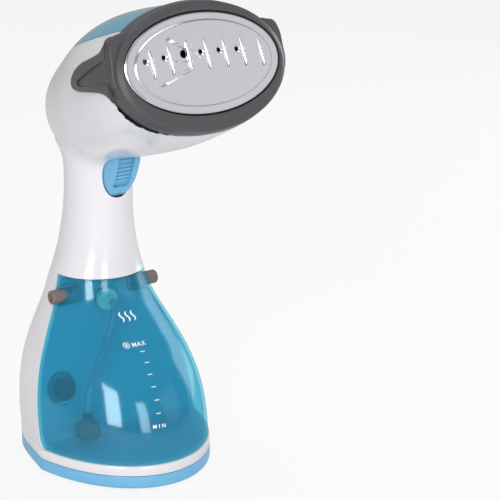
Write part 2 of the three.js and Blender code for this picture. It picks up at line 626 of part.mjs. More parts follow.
// ---- Steam chamber behind the plate -------------------------------------------------------------
// Four screws clamp the cover onto the chamber.
function plateBore(x, y, radius, low, high, sides = 12) {
  const bore = new THREE.CylinderGeometry(radius, radius, high - low, sides);
  bore.rotateX(Math.PI / 2);
  bore.translate(x, y, (low + high) / 2);
  return solid(atPlate(bore));
}

function steamChamber() {
  const block = solid(atPlate(oval(44, 22, -18, -2.8)));
  const pocket = solid(atPlate(oval(39, 17, -14.4, -2)));
  const threads = CHAMBER_SCREWS.map(([, x, y]) => plateBore(x, y, 1.7, -20, -15.2));
  return cut(block, pocket, plateBore(20, 0, 1.6, -40, 0), ...threads);
}
add('steam_chamber', steamChamber(), ALUMINIUM);

function chamberCover() {
  const lid = solid(atPlate(oval(41, 19, -20.5, -18.3)));
  const holes = CHAMBER_SCREWS.map(([, x, y]) => plateBore(x, y, 1.8, -25, -15));
  return cut(lid, plateBore(20, 0, 3.4, -30, -10, 14), ...holes);
}
add('chamber_cover', chamberCover(), STEEL);

const ACROSS = new THREE.Vector3(1, 0, 0);
function inPlate(x, y, z) {
  return new THREE.Vector3(x, y, z).applyAxisAngle(ACROSS, Math.PI / 2 - PLATE_TILT).add(PLATE_CENTRE);
}
const OUT_OF_PLATE = new THREE.Vector3(0, -Math.cos(PLATE_TILT), Math.sin(PLATE_TILT));
for (const [place, x, y] of CHAMBER_SCREWS) {
  add(`chamber_screw_${place}`, screw(inPlate(x, y, -22.9), OUT_OF_PLATE, 7, 2.6, 1.3), STEEL);
}
add('chamber_inlet', ring(inPlate(20, 0, -26), inPlate(20, 0, -18.3), 3, 1.5, 14), BRASS);
for (const [side, x] of [['left', -33], ['right', 34]]) {
  add(`heater_terminal_${side}`, rod(inPlate(x, 0, -29), inPlate(x, 0, -20.8), 2.2, 12), STEEL);
}
add('thermostat', rod(inPlate(-8, 4, -26.5), inPlate(-8, 4, -20.8), 7.5, 18), DARK);
add('thermal_fuse', rod(inPlate(-10, -11, -23.4), inPlate(10, -11, -23.4), 2.2, 12), NATURAL);

// ---- Trigger ------------------------------------------------------------------------------------
// The side of the trigger: its face runs from under the head down to the handle's front.
const TRIGGER_BACK_Y = 15;
function triggerSide() {
  const side = new THREE.Shape();
  side.moveTo(1.8, TRIGGER_TOP);
  side.lineTo(2, 192);
  side.quadraticCurveTo(4.8, 183, 9.2, 174.5);
  side.quadraticCurveTo(11, 170.5, 13.4, TRIGGER_BOTTOM);
  side.lineTo(TRIGGER_BACK_Y, TRIGGER_BOTTOM);
  side.lineTo(TRIGGER_BACK_Y, TRIGGER_TOP);
  side.closePath();
  return pushedAcross(side, TRIGGER_HALF_WIDTH);
}

// Straight sides that close in a round tongue at the bottom.
function triggerFront(grow) {
  const half = TRIGGER_HALF_WIDTH + grow;
  const front = new THREE.Shape();
  front.moveTo(-half, TRIGGER_TOP + grow);
  front.lineTo(-half, 184);
  front.quadraticCurveTo(-half, TRIGGER_BOTTOM - grow, 0, TRIGGER_BOTTOM - grow);
  front.quadraticCurveTo(half, TRIGGER_BOTTOM - grow, half, 184);
  front.lineTo(half, TRIGGER_TOP + grow);
  front.closePath();
  const outline = new THREE.ExtrudeGeometry(front, { depth: 60, bevelEnabled: false, curveSegments: 7 });
  outline.rotateX(Math.PI / 2);
  outline.translate(0, 40, 0);
  return solid(outline);
}

// The finger recess keeps the same depth down the leaning face.
function triggerRecess() {
  const side = new THREE.Shape();
  side.moveTo(-10, 194.4);
  side.lineTo(2 + RECESS_DEPTH, 194.4);
  side.lineTo(2.1 + RECESS_DEPTH, 192);
  side.quadraticCurveTo(4.9 + RECESS_DEPTH, 183, 9 + RECESS_DEPTH, 174.6);
  side.lineTo(-10, 174.6);
  side.closePath();
  return pushedAcross(side, RECESS_HALF_WIDTH);
}

const PIN_RADIUS = 1.5;
function pivotPin(halfLength, radius) {
  const pin = rod(new THREE.Vector3(-halfLength, 0, 0), new THREE.Vector3(halfLength, 0, 0), radius, 14);
  pin.translate(0, TRIGGER_PIVOT.y, TRIGGER_PIVOT.z);
  return pin;
}

function triggerBody() {
  const backPocket = solid(box(-8, 8, 9.5, 20, 185.4, 195));
  const lever = solid(box(-9, 9, 10.5, 20, 193, 206));
  const pin = solid(pivotPin(20, PIN_RADIUS + GAP));
  const paddle = cut(triggerSide().intersect(triggerFront(0)), triggerRecess(), backPocket);
  const actuator = solid(box(-2, 2, 9, 23.5, 181, 185));
  return cut(join(paddle, lever, actuator), pin);
}
add('trigger', triggerBody(), LIGHT_BLUE);

// ---- Inside the handle --------------------------------------------------------------------------
add('trigger_pivot', pivotPin(13, PIN_RADIUS), STEEL);
function triggerSpring() {
  const spring = coil(3, 0.45, 13, 5);
  spring.rotateX(-Math.PI / 2);
  spring.translate(0, 10.2, 189.5);
  return spring;
}
add('trigger_spring', triggerSpring(), STEEL);
add('trigger_switch', box(-4, 4, 27, 37, 176, 187), DARK);

function pump() {
  const motor = solid(rod(new THREE.Vector3(0, 34, 139), new THREE.Vector3(0, 34, 158.5), 9, 20));
  const chamber = solid(box(-11, 11, 27, 49, 127, 140));
  const inlet = solid(rod(new THREE.Vector3(-5, 44, 128), new THREE.Vector3(-5, 44, 122), 2.4, 12));
  const outlet = solid(rod(new THREE.Vector3(8.5, 46, 139), new THREE.Vector3(8.5, 46, 145), 2.2, 12));
  return join(motor, chamber, inlet, outlet);
}
add('pump', pump(), DARK);
const HOSE_RADIUS = 2.4;
const spigotEndY = spigotAt(7).y;
const INLET_PATH = [[0, spigotEndY + 0.5, SPIGOT_Z], [0, spigotEndY + 3, SPIGOT_Z], [-3, 44, 106],
  [-5, 44, 115], [-5, 44, 121.6]];
add('pump_inlet_hose', tube(INLET_PATH, HOSE_RADIUS, 12, 4), CLEAR);
const INLET = inPlate(20, 0, -26);
const OUTLET_PATH = [[8.5, 46, 145.5], [9, 46, 165], [9, 45, 185], [10, 42, 205], [14, 22, 228],
  [18, -15, 248], [INLET.x, INLET.y + 9, INLET.z - 3], [INLET.x, INLET.y + 0.8, INLET.z - 0.3]];
add('pump_outlet_hose', tube(OUTLET_PATH, HOSE_RADIUS, 22, 4), CLEAR);

function terminalBlock() {
  let block = solid(box(-13, 13, 38, 50, 52, 62));
  for (const x of [-8.5, 0, 8.5]) {
    block = cut(block, solid(rod(new THREE.Vector3(x, 44, 58), new THREE.Vector3(x, 44, 70), 2, 10)));
  }
  return block;
}
add('terminal_block', terminalBlock(), NATURAL);

function cordGland() {
  const sleeve = solid(rod(middle(56, GLAND_Z), middle(72, GLAND_Z), 6.8, 22));
  const flange = solid(rod(middle(56, GLAND_Z), middle(60, GLAND_Z), 9.5, 22));
  return cut(join(sleeve, flange), solid(rod(middle(50, GLAND_Z), middle(80, GLAND_Z), 3.6, 16)));
}
add('cord_gland', cordGland(), RUBBER);

// ---- Feet ---------------------------------------------------------------------------------------
for (const [place, x, y] of FEET) {
  add(`foot_${place}`, upright(x, y, 0, FOOT_HEIGHT - 0.1, 7, 20), RUBBER);
}

// The row's origin is on the ground, under the middle of the overall box.
const overall = new THREE.Box3().setFromObject(steamer);
steamer.position.y = -(overall.min.y + overall.max.y) / 2;
steamer.updateMatrixWorld(true);
export default steamer;
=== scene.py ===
"""A handheld garment steamer, standing on its base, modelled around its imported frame."""

import json
import math

import bpy
import numpy as np
from bpy.props import FloatProperty, FloatVectorProperty, IntProperty, PointerProperty
from bpy.types import Operator, Panel, PropertyGroup
from mathutils import Matrix, Vector


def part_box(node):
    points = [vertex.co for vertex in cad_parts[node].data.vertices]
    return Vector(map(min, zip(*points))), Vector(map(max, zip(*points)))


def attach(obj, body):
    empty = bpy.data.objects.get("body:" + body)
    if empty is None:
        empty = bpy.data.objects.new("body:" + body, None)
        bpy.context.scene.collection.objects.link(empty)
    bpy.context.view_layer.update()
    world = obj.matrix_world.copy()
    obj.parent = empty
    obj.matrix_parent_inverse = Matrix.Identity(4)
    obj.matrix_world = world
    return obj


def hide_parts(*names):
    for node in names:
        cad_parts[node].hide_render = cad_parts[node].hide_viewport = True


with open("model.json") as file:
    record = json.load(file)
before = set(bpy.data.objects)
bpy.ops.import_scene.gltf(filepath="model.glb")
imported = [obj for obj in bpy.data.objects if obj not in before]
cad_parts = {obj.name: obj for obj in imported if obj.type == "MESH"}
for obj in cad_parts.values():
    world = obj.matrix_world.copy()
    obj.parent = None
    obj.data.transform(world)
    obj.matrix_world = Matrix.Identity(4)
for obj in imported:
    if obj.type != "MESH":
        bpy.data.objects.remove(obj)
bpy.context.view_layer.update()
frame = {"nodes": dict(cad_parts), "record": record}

bl_info = {
    "name": "Garment Steamer",
    "version": (1, 0, 0),
    "blender": (4, 5, 0),
    "location": "View3D > Sidebar > Steamer",
    "description": "Models a handheld garment steamer piece by piece",
    "category": "Add Mesh",
}

# ---- Measures ------------------------------------------------------------------------------------
# The tables are in millimetres, with the handle's axis near y = 0; row() turns them to the frame's metres.
MM = 0.001
PIN_LOW, PIN_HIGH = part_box("trigger_pivot")
PIN_Y = 17.0
SHIFT_Y = (PIN_LOW.y + PIN_HIGH.y) / 2 - PIN_Y * MM

GAP = 0.3
FOOT_HEIGHT = 1.2
BAND_TOP = 9.0
RIM_TOP = 15.4
TANK_TOP = 117.0
TANK_WALL = 2.0
TANK_CORNER = 5.5
SPLIT_Y = 53.0
REAR_TOP_Z = 232.0
PARTING_LEAN = 0.26
BASE_CORNER_Y = 10.0
PLATE_CENTRE = (0.0, -72.3, 262.8)
PLATE_TILT = math.radians(16.6)
PLATE_HALF = (52.5, 28.4)
RING_HALF = (58.2, 37.2)
RING_DROP = 1.7
HOLE_COUNT = 7
HOLE_PITCH = 12.4
BUTTON = (33.0, 28.5, 105.0)
BUTTON_RADIUS = 4.4
BUTTON_LENGTH = 12.6
BUTTON_BORE_END = 21.8
SPIGOT_Z = 98.0
FILLER = (-38.0, 48.0)
GLAND_Z = 30.0
FILTER_FOOT = (-31.0, -0.5, 21.5)
HEEL_Y = 69.5
HEAD_FRONT_Y = -88.0
FAR = 200.0
COVER_SCREWS = {"left": (-25.0, 75.0), "right": (25.0, 75.0), "top": (0.0, 163.6)}
BASE_SCREWS = {"front_left": (-32.0, 2.0), "front_right": (32.0, 2.0), "rear_left": (-24.0, 54.0), "rear_right": (24.0, 54.0)}
FEET = {"front_left": (-30.0, -20.0), "front_right": (30.0, -20.0), "rear_left": (-36.0, 44.0), "rear_right": (36.0, 44.0)}
EAR_OUTLINE = [(-80, 288), (-71, 281.5), (-63, 279.6), (-60, 275.9), (-56.5, 271.6), (-41.5, 266.3), (-27, 261.1),
               (-18, 255.2), (-14.8, 249.6), (-16.2, 246.8), (-19.5, 245.4), (-29.8, 245.7), (-47.8, 248.8),
               (-62, 250.8), (-69.5, 249), (-75.2, 240.3), (-80, 229.4), (-92, 226)]
EAR_FACET = [(-26, 251), (-38, 257.5), (-54, 265.5), (-80, 275), (-80, 259), (-58, 254.6), (-36, 249.4), (-27, 248.8)]
TAB_OUTLINE = [(44, 20), (45.9, 21.9), (50, 20.8), (53.4, 20.4), (55.6, 19), (57, 16.5), (58.6, 12), (58.8, 5), (59.5, -2),
               (58, -9), (50, -9), (40, 0)]


def row(points):
    """Millimetres of the tables to metres of the frame."""
    placed = np.array(points, float) * MM
    placed[..., 1] += SHIFT_Y
    return placed


def through(*stations):
    """A smooth curve through (position, value) stations, level past its ends."""
    at, value = np.array(stations, float).T
    before = np.r_[0, np.arange(len(at) - 1)]
    after = np.r_[np.arange(1, len(at)), len(at) - 1]
    slope = (value[after] - value[before]) / (at[after] - at[before])

    def curve(position):
        position = np.clip(position, at[0], at[-1])
        i = np.clip(np.searchsorted(at, position, side="right") - 1, 0, len(at) - 2)
        span = at[i + 1] - at[i]
        t = (position - at[i]) / span
        ease = t * t * (3 - 2 * t)
        lift = slope[i] * t * (1 - t) ** 2 - slope[i + 1] * t * t * (1 - t)
        return value[i] + (value[i + 1] - value[i]) * ease + span * lift

    return curve


body_half_width = through((0, 59.3), (17, 59), (30, 58.8), (46, 57), (64, 52.3), (81, 45), (99, 36), (117, 29.6),
                          (132, 25), (150, 22), (165, 21), (182, 21.2), (192, 22.5), (200, 25))
body_front = through((0, -52.8), (17, -51), (30, -49.5), (42, -46.5), (55, -40.5), (70, -29), (85, -14), (103, 1),
                     (117, 7.5), (132, 10), (150, 11), (182, 10.5), (192, 8), (200, 3))
body_middle = through((0, 10), (17, 10.5), (106, 34), (130, 35), (200, 35))
body_back = through((0, 65), (20, 65.5), (60, 66.5), (90, 65), (117, 62), (150, 58), (175, 56), (200, 57))
nose_turn = through((0, 75), (30, 77), (60, 83), (90, 88), (117, 90))
back_power = through((0, 5), (60, 4.2), (110, 2.6), (150, 2.1), (200, 2))
side_taper = through((0, 0.18), (80, 0.09), (120, 0.02), (140, 0))
head_top = through((-88, 296.5), (-60, 294.2), (-36, 290.5), (-11, 284.5), (9, 277), (26, 268), (41, 257.5),
                   (52, 248.5), (61, 239), (66.5, 230), (69.5, 221))
head_bottom = through((-88, 232), (-77, 224.5), (-66, 217.5), (-47, 208.5), (-24, 201), (-5, 196), (12, 191.5),
                      (30, 189), (46, 190), (56, 195), (64, 204), (69.5, 221))
head_half_width = through((-88, 59), (-60, 57), (-36, 53), (-11, 47), (10, 41), (26, 35.5), (40, 30.5), (52, 26.5),
                          (60, 21.5), (66, 14.5), (69.5, 0.5))
HEAD_POWER = 2.15


def parting_y(z):
    return BASE_CORNER_Y + (z - RIM_TOP) * PARTING_LEAN


def seam_z(y):
    return 267 - 0.28 * y


def signed_power(value, exponent):
    return np.sign(value) * np.abs(value) ** exponent


def body_point(z, angle, reach=1.0, inset=0.0):
    """A point of the body's skin at a height and an angle, which is 0 ahead and a quarter turn to the right."""
    ahead = np.cos(angle) > 0
    middle = body_middle(z)
    depth = np.where(ahead, middle - body_front(z), body_back(z) - middle) - inset
    corner = np.radians(nose_turn(z))
    turn = angle * corner / (math.pi / 2)
    bow = (np.cos(turn) - np.cos(corner)) / (1 - np.cos(corner))
    exponent = 2 / back_power(z)
    along = np.where(ahead, -bow, signed_power(-np.cos(angle), exponent))
    spread = signed_power(np.sin(angle), exponent) * (1 - side_taper(z) * along)
    x = (body_half_width(z) - inset) * np.where(ahead, np.sin(turn) / np.sin(corner), spread)
    return np.stack([x * reach, middle + depth * along * reach, z + 0 * angle], -1)


def head_point(y, angle, reach=1.0, inset=0.0):
    """A point of the head's skin at a slice and an angle, which is 0 at the top."""
    shrink = np.clip((HEEL_Y - y) / 0.3, 0, 1)
    high = head_top(y) - inset * shrink
    low = head_bottom(y) + inset * shrink
    half_height = np.maximum((high - low) / 2, 0.2)
    half_width = np.maximum(head_half_width(y) - inset * shrink, 0.2)
    x = half_width * signed_power(np.sin(angle), 2 / HEAD_POWER) * reach
    z = (high + low) / 2 + half_height * signed_power(np.cos(angle), 2 / HEAD_POWER) * reach
    return np.stack([x, y + 0 * angle, z], -1)


def front_y(x, z, inset=0.0):
    """How far ahead the body's skin is at a width and a height."""
    corner = np.radians(nose_turn(z))
    share = np.clip(np.abs(x) / (body_half_width(z) - inset), 0, 1) * np.sin(corner)
    along = (np.sqrt(1 - share ** 2) - np.cos(corner)) / (1 - np.cos(corner))
    return body_middle(z) - (body_middle(z) - body_front(z) - inset) * along


def body_gauge(p):
    z = p[:, 2]
    offset = p[:, 1] - body_middle(z)
    ahead = offset < 0
    along = offset / np.where(ahead, body_middle(z) - body_front(z), body_back(z) - body_middle(z))
    across = np.abs(p[:, 0]) / body_half_width(z)
    corner = np.radians(nose_turn(z))
    nose = np.hypot(across * np.sin(corner), np.abs(along) * (1 - np.cos(corner)) + np.cos(corner))
    across = across / (1 - side_taper(z) * np.clip(along, 0, 1.2))
    exponent = back_power(z)
    return np.where(ahead, nose, (across ** exponent + np.abs(along) ** exponent) ** (1 / exponent))


def head_gauge(p):
    y = np.minimum(p[:, 1], HEEL_Y - 0.05)
    high, low = head_top(y), head_bottom(y)
    rise = np.abs(p[:, 2] - (high + low) / 2) / np.maximum((high - low) / 2, 0.2)
    across = np.abs(p[:, 0]) / head_half_width(y)
    return (across ** HEAD_POWER + rise ** HEAD_POWER) ** (1 / HEAD_POWER) + np.maximum(p[:, 1] - HEEL_Y + 0.05, 0)


def distance(gauge, p, step=0.05):
    """About how far each point is outside a skin, and the way out."""
    slopes = []
    for axis in range(3):
        move = np.zeros(3)
        move[axis] = step
        slopes.append((gauge(p + move) - gauge(p - move)) / (2 * step))
    slope = np.stack(slopes, -1)
    steepness = np.maximum(np.linalg.norm(slope, axis=1), 1e-6)
    return (gauge(p) - 1) / steepness, slope / steepness[:, None]


def onto_shell(p, fillet):
    """Moves points onto the joined skin of body and head, with a fillet where they meet."""
    for _ in range(5):
        body_far, body_way = distance(body_gauge, p)
        head_far, head_way = distance(head_gauge, p)
        beyond = p[:, 2] > 197
        body_far = np.where(beyond, np.maximum(body_far, p[:, 2] - 197), body_far)
        blend = np.clip(0.5 + 0.5 * (head_far - body_far) / fillet, 0, 1)
        far = head_far * (1 - blend) + body_far * blend - fillet * blend * (1 - blend)
        way = head_way * (1 - blend)[:, None] + body_way * blend[:, None]
        way /= np.maximum(np.linalg.norm(way, axis=1), 1e-6)[:, None]
        p = p - np.clip(far, -1.2, 1.2)[:, None] * way
    return p


def at_plate(points):
    """From the plate's own frame (x across, y up the plate, z out of it) to the tables' frame."""
    x, y, out = np.moveaxis(np.array(points, float), -1, 0)
    sine, cosine = math.sin(PLATE_TILT), math.cos(PLATE_TILT)
    return np.stack([x + PLATE_CENTRE[0], y * sine - out * cosine + PLATE_CENTRE[1],
                     y * cosine + out * sine + PLATE_CENTRE[2]], -1)


# ---- Modelling -----------------------------------------------------------------------------------
def clear_selection():
    if bpy.context.object and bpy.context.object.mode != "OBJECT":
        bpy.ops.object.mode_set(mode="OBJECT")
    bpy.ops.object.select_all(action="DESELECT")


def pick(piece, *others):
    clear_selection()
    for other in others:
        other.select_set(True)
    piece.select_set(True)
    bpy.context.view_layer.objects.active = piece


def named(name):
    piece = bpy.context.object
    piece.name = name
    piece.data.name = name
    return piece


def corners(piece):
    found = np.empty(len(piece.data.vertices) * 3)
    piece.data.vertices.foreach_get("co", found)
    return found.reshape(-1, 3)


def set_corners(piece, points):
    piece.data.vertices.foreach_set("co", np.array(points, float).ravel())
    piece.data.update()


def in_tables(piece):
    """The piece's corners in the tables' millimetres."""
    points = corners(piece)
    points[:, 1] -= SHIFT_Y
    return points / MM


def face_outwards(piece):
    """Turns the faces round if the closed piece is inside out."""
    mesh = piece.data
    mesh.calc_loop_triangles()
    index = np.empty(len(mesh.loop_triangles) * 3, int)
    mesh.loop_triangles.foreach_get("vertices", index)
    a, b, c = np.moveaxis(corners(piece)[index.reshape(-1, 3)], 1, 0)
    if np.einsum("ij,ij->", a, np.cross(b, c)) < 0:
        edit(piece)
        bpy.ops.mesh.flip_normals()
        done()
    return piece


def edit(piece, select=True):
    pick(piece)
    bpy.ops.object.mode_set(mode="EDIT")
    bpy.ops.mesh.select_all(action="SELECT" if select else "DESELECT")


def done():
    bpy.ops.object.mode_set(mode="OBJECT")


def ball(name, around, rings, place):
    """A ball whose rings are moved by place(level, angle, reach); both ends close flat on reach 0."""
    clear_selection()
    bpy.ops.mesh.primitive_uv_sphere_add(segments=around, ring_count=rings, radius=1)
    piece = named(name)
    points = corners(piece)
    level = rings - np.round(np.arccos(np.clip(points[:, 2], -1, 1)) * rings / math.pi)
    reach = np.where((level < 0.5) | (level > rings - 0.5), 0.0, 1.0)
    share = (np.clip(level, 1, rings - 1) - 1) / (rings - 2)
    set_corners(piece, row(place(share, np.arctan2(points[:, 0], -points[:, 1]), reach)))
    return face_outwards(piece)


def hoop(name, around, sections, place):
    """A torus whose section points are moved by place(index, angle)."""
    clear_selection()
    bpy.ops.mesh.primitive_torus_add(major_segments=around, minor_segments=sections, major_radius=1, minor_radius=0.25)
    piece = named(name)
    points = corners(piece)
    turn = np.arctan2(points[:, 2], np.hypot(points[:, 0], points[:, 1]) - 1)
    index = np.round(turn / (2 * math.pi) * sections).astype(int) % sections
    set_corners(piece, row(place(index, np.arctan2(points[:, 0], -points[:, 1]))))
    return face_outwards(piece)


def turned(name, profile, place, around=48, ribs=0, rib_depth=0.0):
    """A turned solid from (radius, height) pairs; place(x, y, height) puts it in the tables' frame."""
    radius, height = np.array(profile, float).T

    def ring(share, angle, reach):
        level = np.round(share * (len(profile) - 1)).astype(int)
        ribbed = rib_depth * np.cos(ribs * angle) * (radius[level] > 0.7 * radius.max()) if ribs else 0
        r = (radius[level] + ribbed) * reach
        return place(r * np.sin(angle), -r * np.cos(angle), height[level])

    return ball(name, around, len(profile) + 1, ring)


def washer(name, profile, place, around=48):
    """A turned ring from a closed loop of (radius, height) pairs."""
    radius, height = np.array(profile, float).T
    return hoop(name, around, len(profile), lambda k, a: place(radius[k] * np.sin(a), -radius[k] * np.cos(a), height[k]))


def bent(start, control, end, steps=10):
    """Points of a curve that starts at start and ends at end, drawn towards control."""
    t = np.linspace(0, 1, steps + 1)[1:, None]
    return list(map(tuple, (1 - t) ** 2 * np.array(start) + 2 * t * (1 - t) * np.array(control) + t * t * np.array(end)))


def prism(name, outline, axis, low, high):
    """An outline pushed along an axis: (y, z) for x, (x, z) for y, (x, y) for z."""
    clear_selection()
    bpy.ops.mesh.primitive_circle_add(vertices=len(outline), radius=1, fill_type="NGON")
    piece = named(name)
    set_corners(piece, row([np.insert(point, axis, low) for point in outline]))
    edit(piece)
    travel = [0.0, 0.0, 0.0]
    travel[axis] = (high - low) * MM
    bpy.ops.mesh.extrude_region_move(TRANSFORM_OT_translate={"value": travel})
    bpy.ops.mesh.select_all(action="SELECT")
    bpy.ops.mesh.normals_make_consistent(inside=False)
    done()
    return piece


def block(name, x0, x1, y0, y1, z0, z1):
    return prism(name, [(y0, z0), (y1, z0), (y1, z1), (y0, z1)], 0, x0, x1)


def bar(name, start, end, radius, around=32):
    """A round bar between two points of the tables."""
    start, end = Vector(start), Vector(end)
    turn = Vector((0, 0, 1)).rotation_difference((end - start).normalized()).to_matrix()
    length = (end - start).length

    def place(x, y, height):
        return np.stack([x, y, height], -1) @ np.array(turn).T + np.array(start)

    return turned(name, [(radius, 0), (radius, length / 2), (radius, length)], place, around)


def modify(piece, kind, **settings):
    pick(piece)
    modifier = piece.modifiers.new(kind.title(), kind)
    for key, value in settings.items():
        setattr(modifier, key, value)
    bpy.ops.object.modifier_apply(modifier=modifier.name)
    return piece


def combine(piece, operation, *tools):
    """Adds, takes away or keeps what tools hold, one after another, and removes them."""
    for tool in tools:
        modify(piece, "BOOLEAN", operation=operation, solver="EXACT", object=tool)
        bpy.data.meshes.remove(tool.data)
    if not piece.data.polygons:
        raise RuntimeError(piece.name + " was left empty")
    return piece


def merged(piece, *others):
    pick(piece, *others)
    bpy.ops.object.join()
    return piece


def copied(piece, name):
    pick(piece)
    bpy.ops.object.duplicate()
    return named(name)


def slice_off(piece, point, normal, clear=True, fill=False):
    """Cuts along a plane of the tables, and takes off what lies on the normal's side."""
    edit(piece)
    bpy.ops.mesh.bisect(plane_co=row(point), plane_no=normal, use_fill=fill, clear_outer=clear, threshold=1e-7)
    done()


def keep_faces(piece, test):
    """Deletes the faces whose middle, in the tables' frame, fails the test."""
    edit(piece, select=False)
    done()
    middles = np.empty(len(piece.data.polygons) * 3)
    piece.data.polygons.foreach_get("center", middles)
    middles = middles.reshape(-1, 3)
    middles[:, 1] -= SHIFT_Y
    piece.data.polygons.foreach_set("select", ~test(middles / MM))
    pick(piece)
    bpy.ops.object.mode_set(mode="EDIT")
    bpy.ops.mesh.select_mode(type="FACE")
    bpy.ops.mesh.delete(type="FACE")
    bpy.ops.mesh.select_mode(type="VERT")
    done()


def smooth(piece, angle=35.0):
    pick(piece)
    bpy.ops.object.shade_smooth_by_angle(angle=math.radians(angle))
    return piece


def tidy(piece):
    """Joins corners that a cut left on each other."""
    edit(piece)
    bpy.ops.mesh.remove_doubles(threshold=2e-6)
    bpy.ops.mesh.delete_loose()
    done()
    return piece


def finish_piece(piece, body, slot, material, *nodes):
    piece.data.materials.clear()
    piece.data.materials.append(material)
    for polygon in piece.data.polygons:
        polygon.material_index = 0
    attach(piece, body)
    if nodes:
        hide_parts(*nodes)
    return piece


# ---- Finishes ------------------------------------------------------------------------------------
class Value:
    """A shader socket that takes part in arithmetic."""

    def __init__(self, finish, socket):
        self.finish = finish
        self.socket = socket

    def maths(self, operation, *terms):
        return self.finish.node("ShaderNodeMath", {"operation": operation}, dict(enumerate(terms)))

    def __add__(self, other):
        return self.maths("ADD", self, other)

    def __sub__(self, other):
        return self.maths("SUBTRACT", self, other)

    def __rsub__(self, other):
        return self.maths("SUBTRACT", other, self)

    def __mul__(self, other):
        return self.maths("MULTIPLY", self, other)

    def __pow__(self, other):
        return self.maths("POWER", self, other)

    __radd__ = __add__
    __rmul__ = __mul__


class Finish:
    """A material and the nodes that make it."""

    def __init__(self, name):
        self.material = bpy.data.materials.new(name)
        self.material.use_nodes = True
        self.nodes = self.material.node_tree.nodes
        self.links = self.material.node_tree.links
        self.nodes.clear()
        self.output = self.nodes.new("ShaderNodeOutputMaterial")

    def node(self, kind, settings=None, inputs=None, output=0):
        made = self.nodes.new(kind)
        for key, value in (settings or {}).items():
            setattr(made, key, value)
        for key, value in (inputs or {}).items():
            if isinstance(value, Value):
                self.links.new(value.socket, made.inputs[key])
            else:
                made.inputs[key].default_value = value
        return Value(self, made.outputs[output])

    def show(self, shader):
        self.links.new(shader.socket, self.output.inputs["Surface"])
        return self.material

    def place(self):
        return self.node("ShaderNodeTexCoord", output="Object")

    def noise(self, scale, detail=2.0, stretch=None):
        vector = self.place()
        if stretch:
            vector = self.node("ShaderNodeMapping", None, {"Vector": vector, "Scale": stretch})
        return self.node("ShaderNodeTexNoise", None, {"Vector": vector, "Scale": scale, "Detail": detail})

    def blend(self, share, a, b):
        return self.node("ShaderNodeMix", {"data_type": "RGBA"}, {0: share, 6: a, 7: b}, output=2)


def shade(colour, factor):
    return [min(1.0, c * factor) for c in colour[:3]] + [1.0]


def moulded(name, colour, roughness, grain=0.02, scale=900.0, coat=0.0, spread=0.05, **constants):
    """Moulded plastic or rubber: a slow drift of tone, uneven gloss and a fine grain."""
    finish = Finish(name)
    slow = finish.noise(22.0)
    fine = finish.noise(scale, 3.0)
    tone = finish.blend(slow, shade(colour, 1 - spread), shade(colour, 1 + spread))
    gloss = roughness - 0.03 + slow * 0.04 + fine * 0.02
    bump = finish.node("ShaderNodeBump", None, {"Strength": grain, "Distance": 0.0003, "Height": fine})
    inputs = {"Base Color": tone, "Roughness": gloss, "Normal": bump, "Coat Weight": coat, "Coat Roughness": 0.04}
    inputs.update({key.replace("_", " "): value for key, value in constants.items()})
    return finish.show(finish.node("ShaderNodeBsdfPrincipled", None, inputs))


def metal(name, colour, roughness, brushing=(60.0, 60.0, 60.0), scale=60.0, depth=0.03):
    """Metal with fine working marks, drawn out where brushing says."""
    finish = Finish(name)
    marks = finish.noise(scale, 4.0, brushing)
    smear = finish.noise(14.0)
    tone = finish.blend(smear, shade(colour, 0.94), shade(colour, 1.04))
    bump = finish.node("ShaderNodeBump", None, {"Strength": depth, "Distance": 0.0002, "Height": marks})
    return finish.show(finish.node("ShaderNodeBsdfPrincipled", None, {
        "Base Color": tone, "Metallic": 1.0, "Roughness": roughness - 0.03 + smear * 0.05 + marks * 0.03, "Normal": bump}))


def clear_plastic(name, tint, body_colour, share, roughness=0.07):
    """Tinted clear plastic: light goes through with the tint, and the surface shows its gloss at an angle."""
    finish = Finish(name)
    slow = finish.noise(30.0)
    rim = finish.node("ShaderNodeLayerWeight", None, {"Blend": 0.35}, output="Facing")
    through_it = finish.node("ShaderNodeBsdfTransparent", None, {"Color": tint})
    cloud = finish.node("ShaderNodeBsdfPrincipled", None, {
        "Base Color": finish.blend(slow, shade(body_colour, 0.93), shade(body_colour, 1.07)),
        "Roughness": 0.5, "Specular IOR Level": 0.0})
    gloss = finish.node("ShaderNodeBsdfPrincipled", None, {
        "Base Color": [0.95, 0.97, 1, 1], "Metallic": 1.0, "Roughness": roughness + slow * 0.02})
    inside = finish.node("ShaderNodeMixShader", None, {0: share + (rim ** 4.0) * 0.3, 1: through_it, 2: cloud})
    return finish.show(finish.node("ShaderNodeMixShader", None, {0: 0.04 + (rim ** 5.0) * 0.25, 1: inside, 2: gloss}))


def linear(code):
    """A linear colour from a hexadecimal screen colour."""
    parts = [int(code[i:i + 2], 16) / 255 for i in (0, 2, 4)]
    return tuple(c / 12.92 if c <= 0.04045 else ((c + 0.055) / 1.055) ** 2.4 for c in parts)


def colour_property(name, code):
    return FloatVectorProperty(name=name, description=name + " of the finish", subtype="COLOR", size=3, min=0, max=1,
                               default=linear(code))


class SteamerColours(PropertyGroup):
    white_shell: colour_property("White of the housing", "e2dfe1")
    blue_cover: colour_property("Blue of the top cover", "239bb8")
    light_blue: colour_property("Light blue of trigger and base", "70b3d8")
    tank_blue: colour_property("Blue of the tank", "2cacd6")
    bezel_grey: colour_property("Grey of the bezel", "48484a")
    button_grey: colour_property("Grey of the release buttons", "776b66")
    print_white: colour_property("White of the printed marks", "f4f6f8")
    plate: colour_property("Polished metal of the plate", "d9d9dd")


def length_property(name, value, description):
    return FloatProperty(name=name, description=description, default=value, unit="LENGTH", subtype="DISTANCE", min=0)


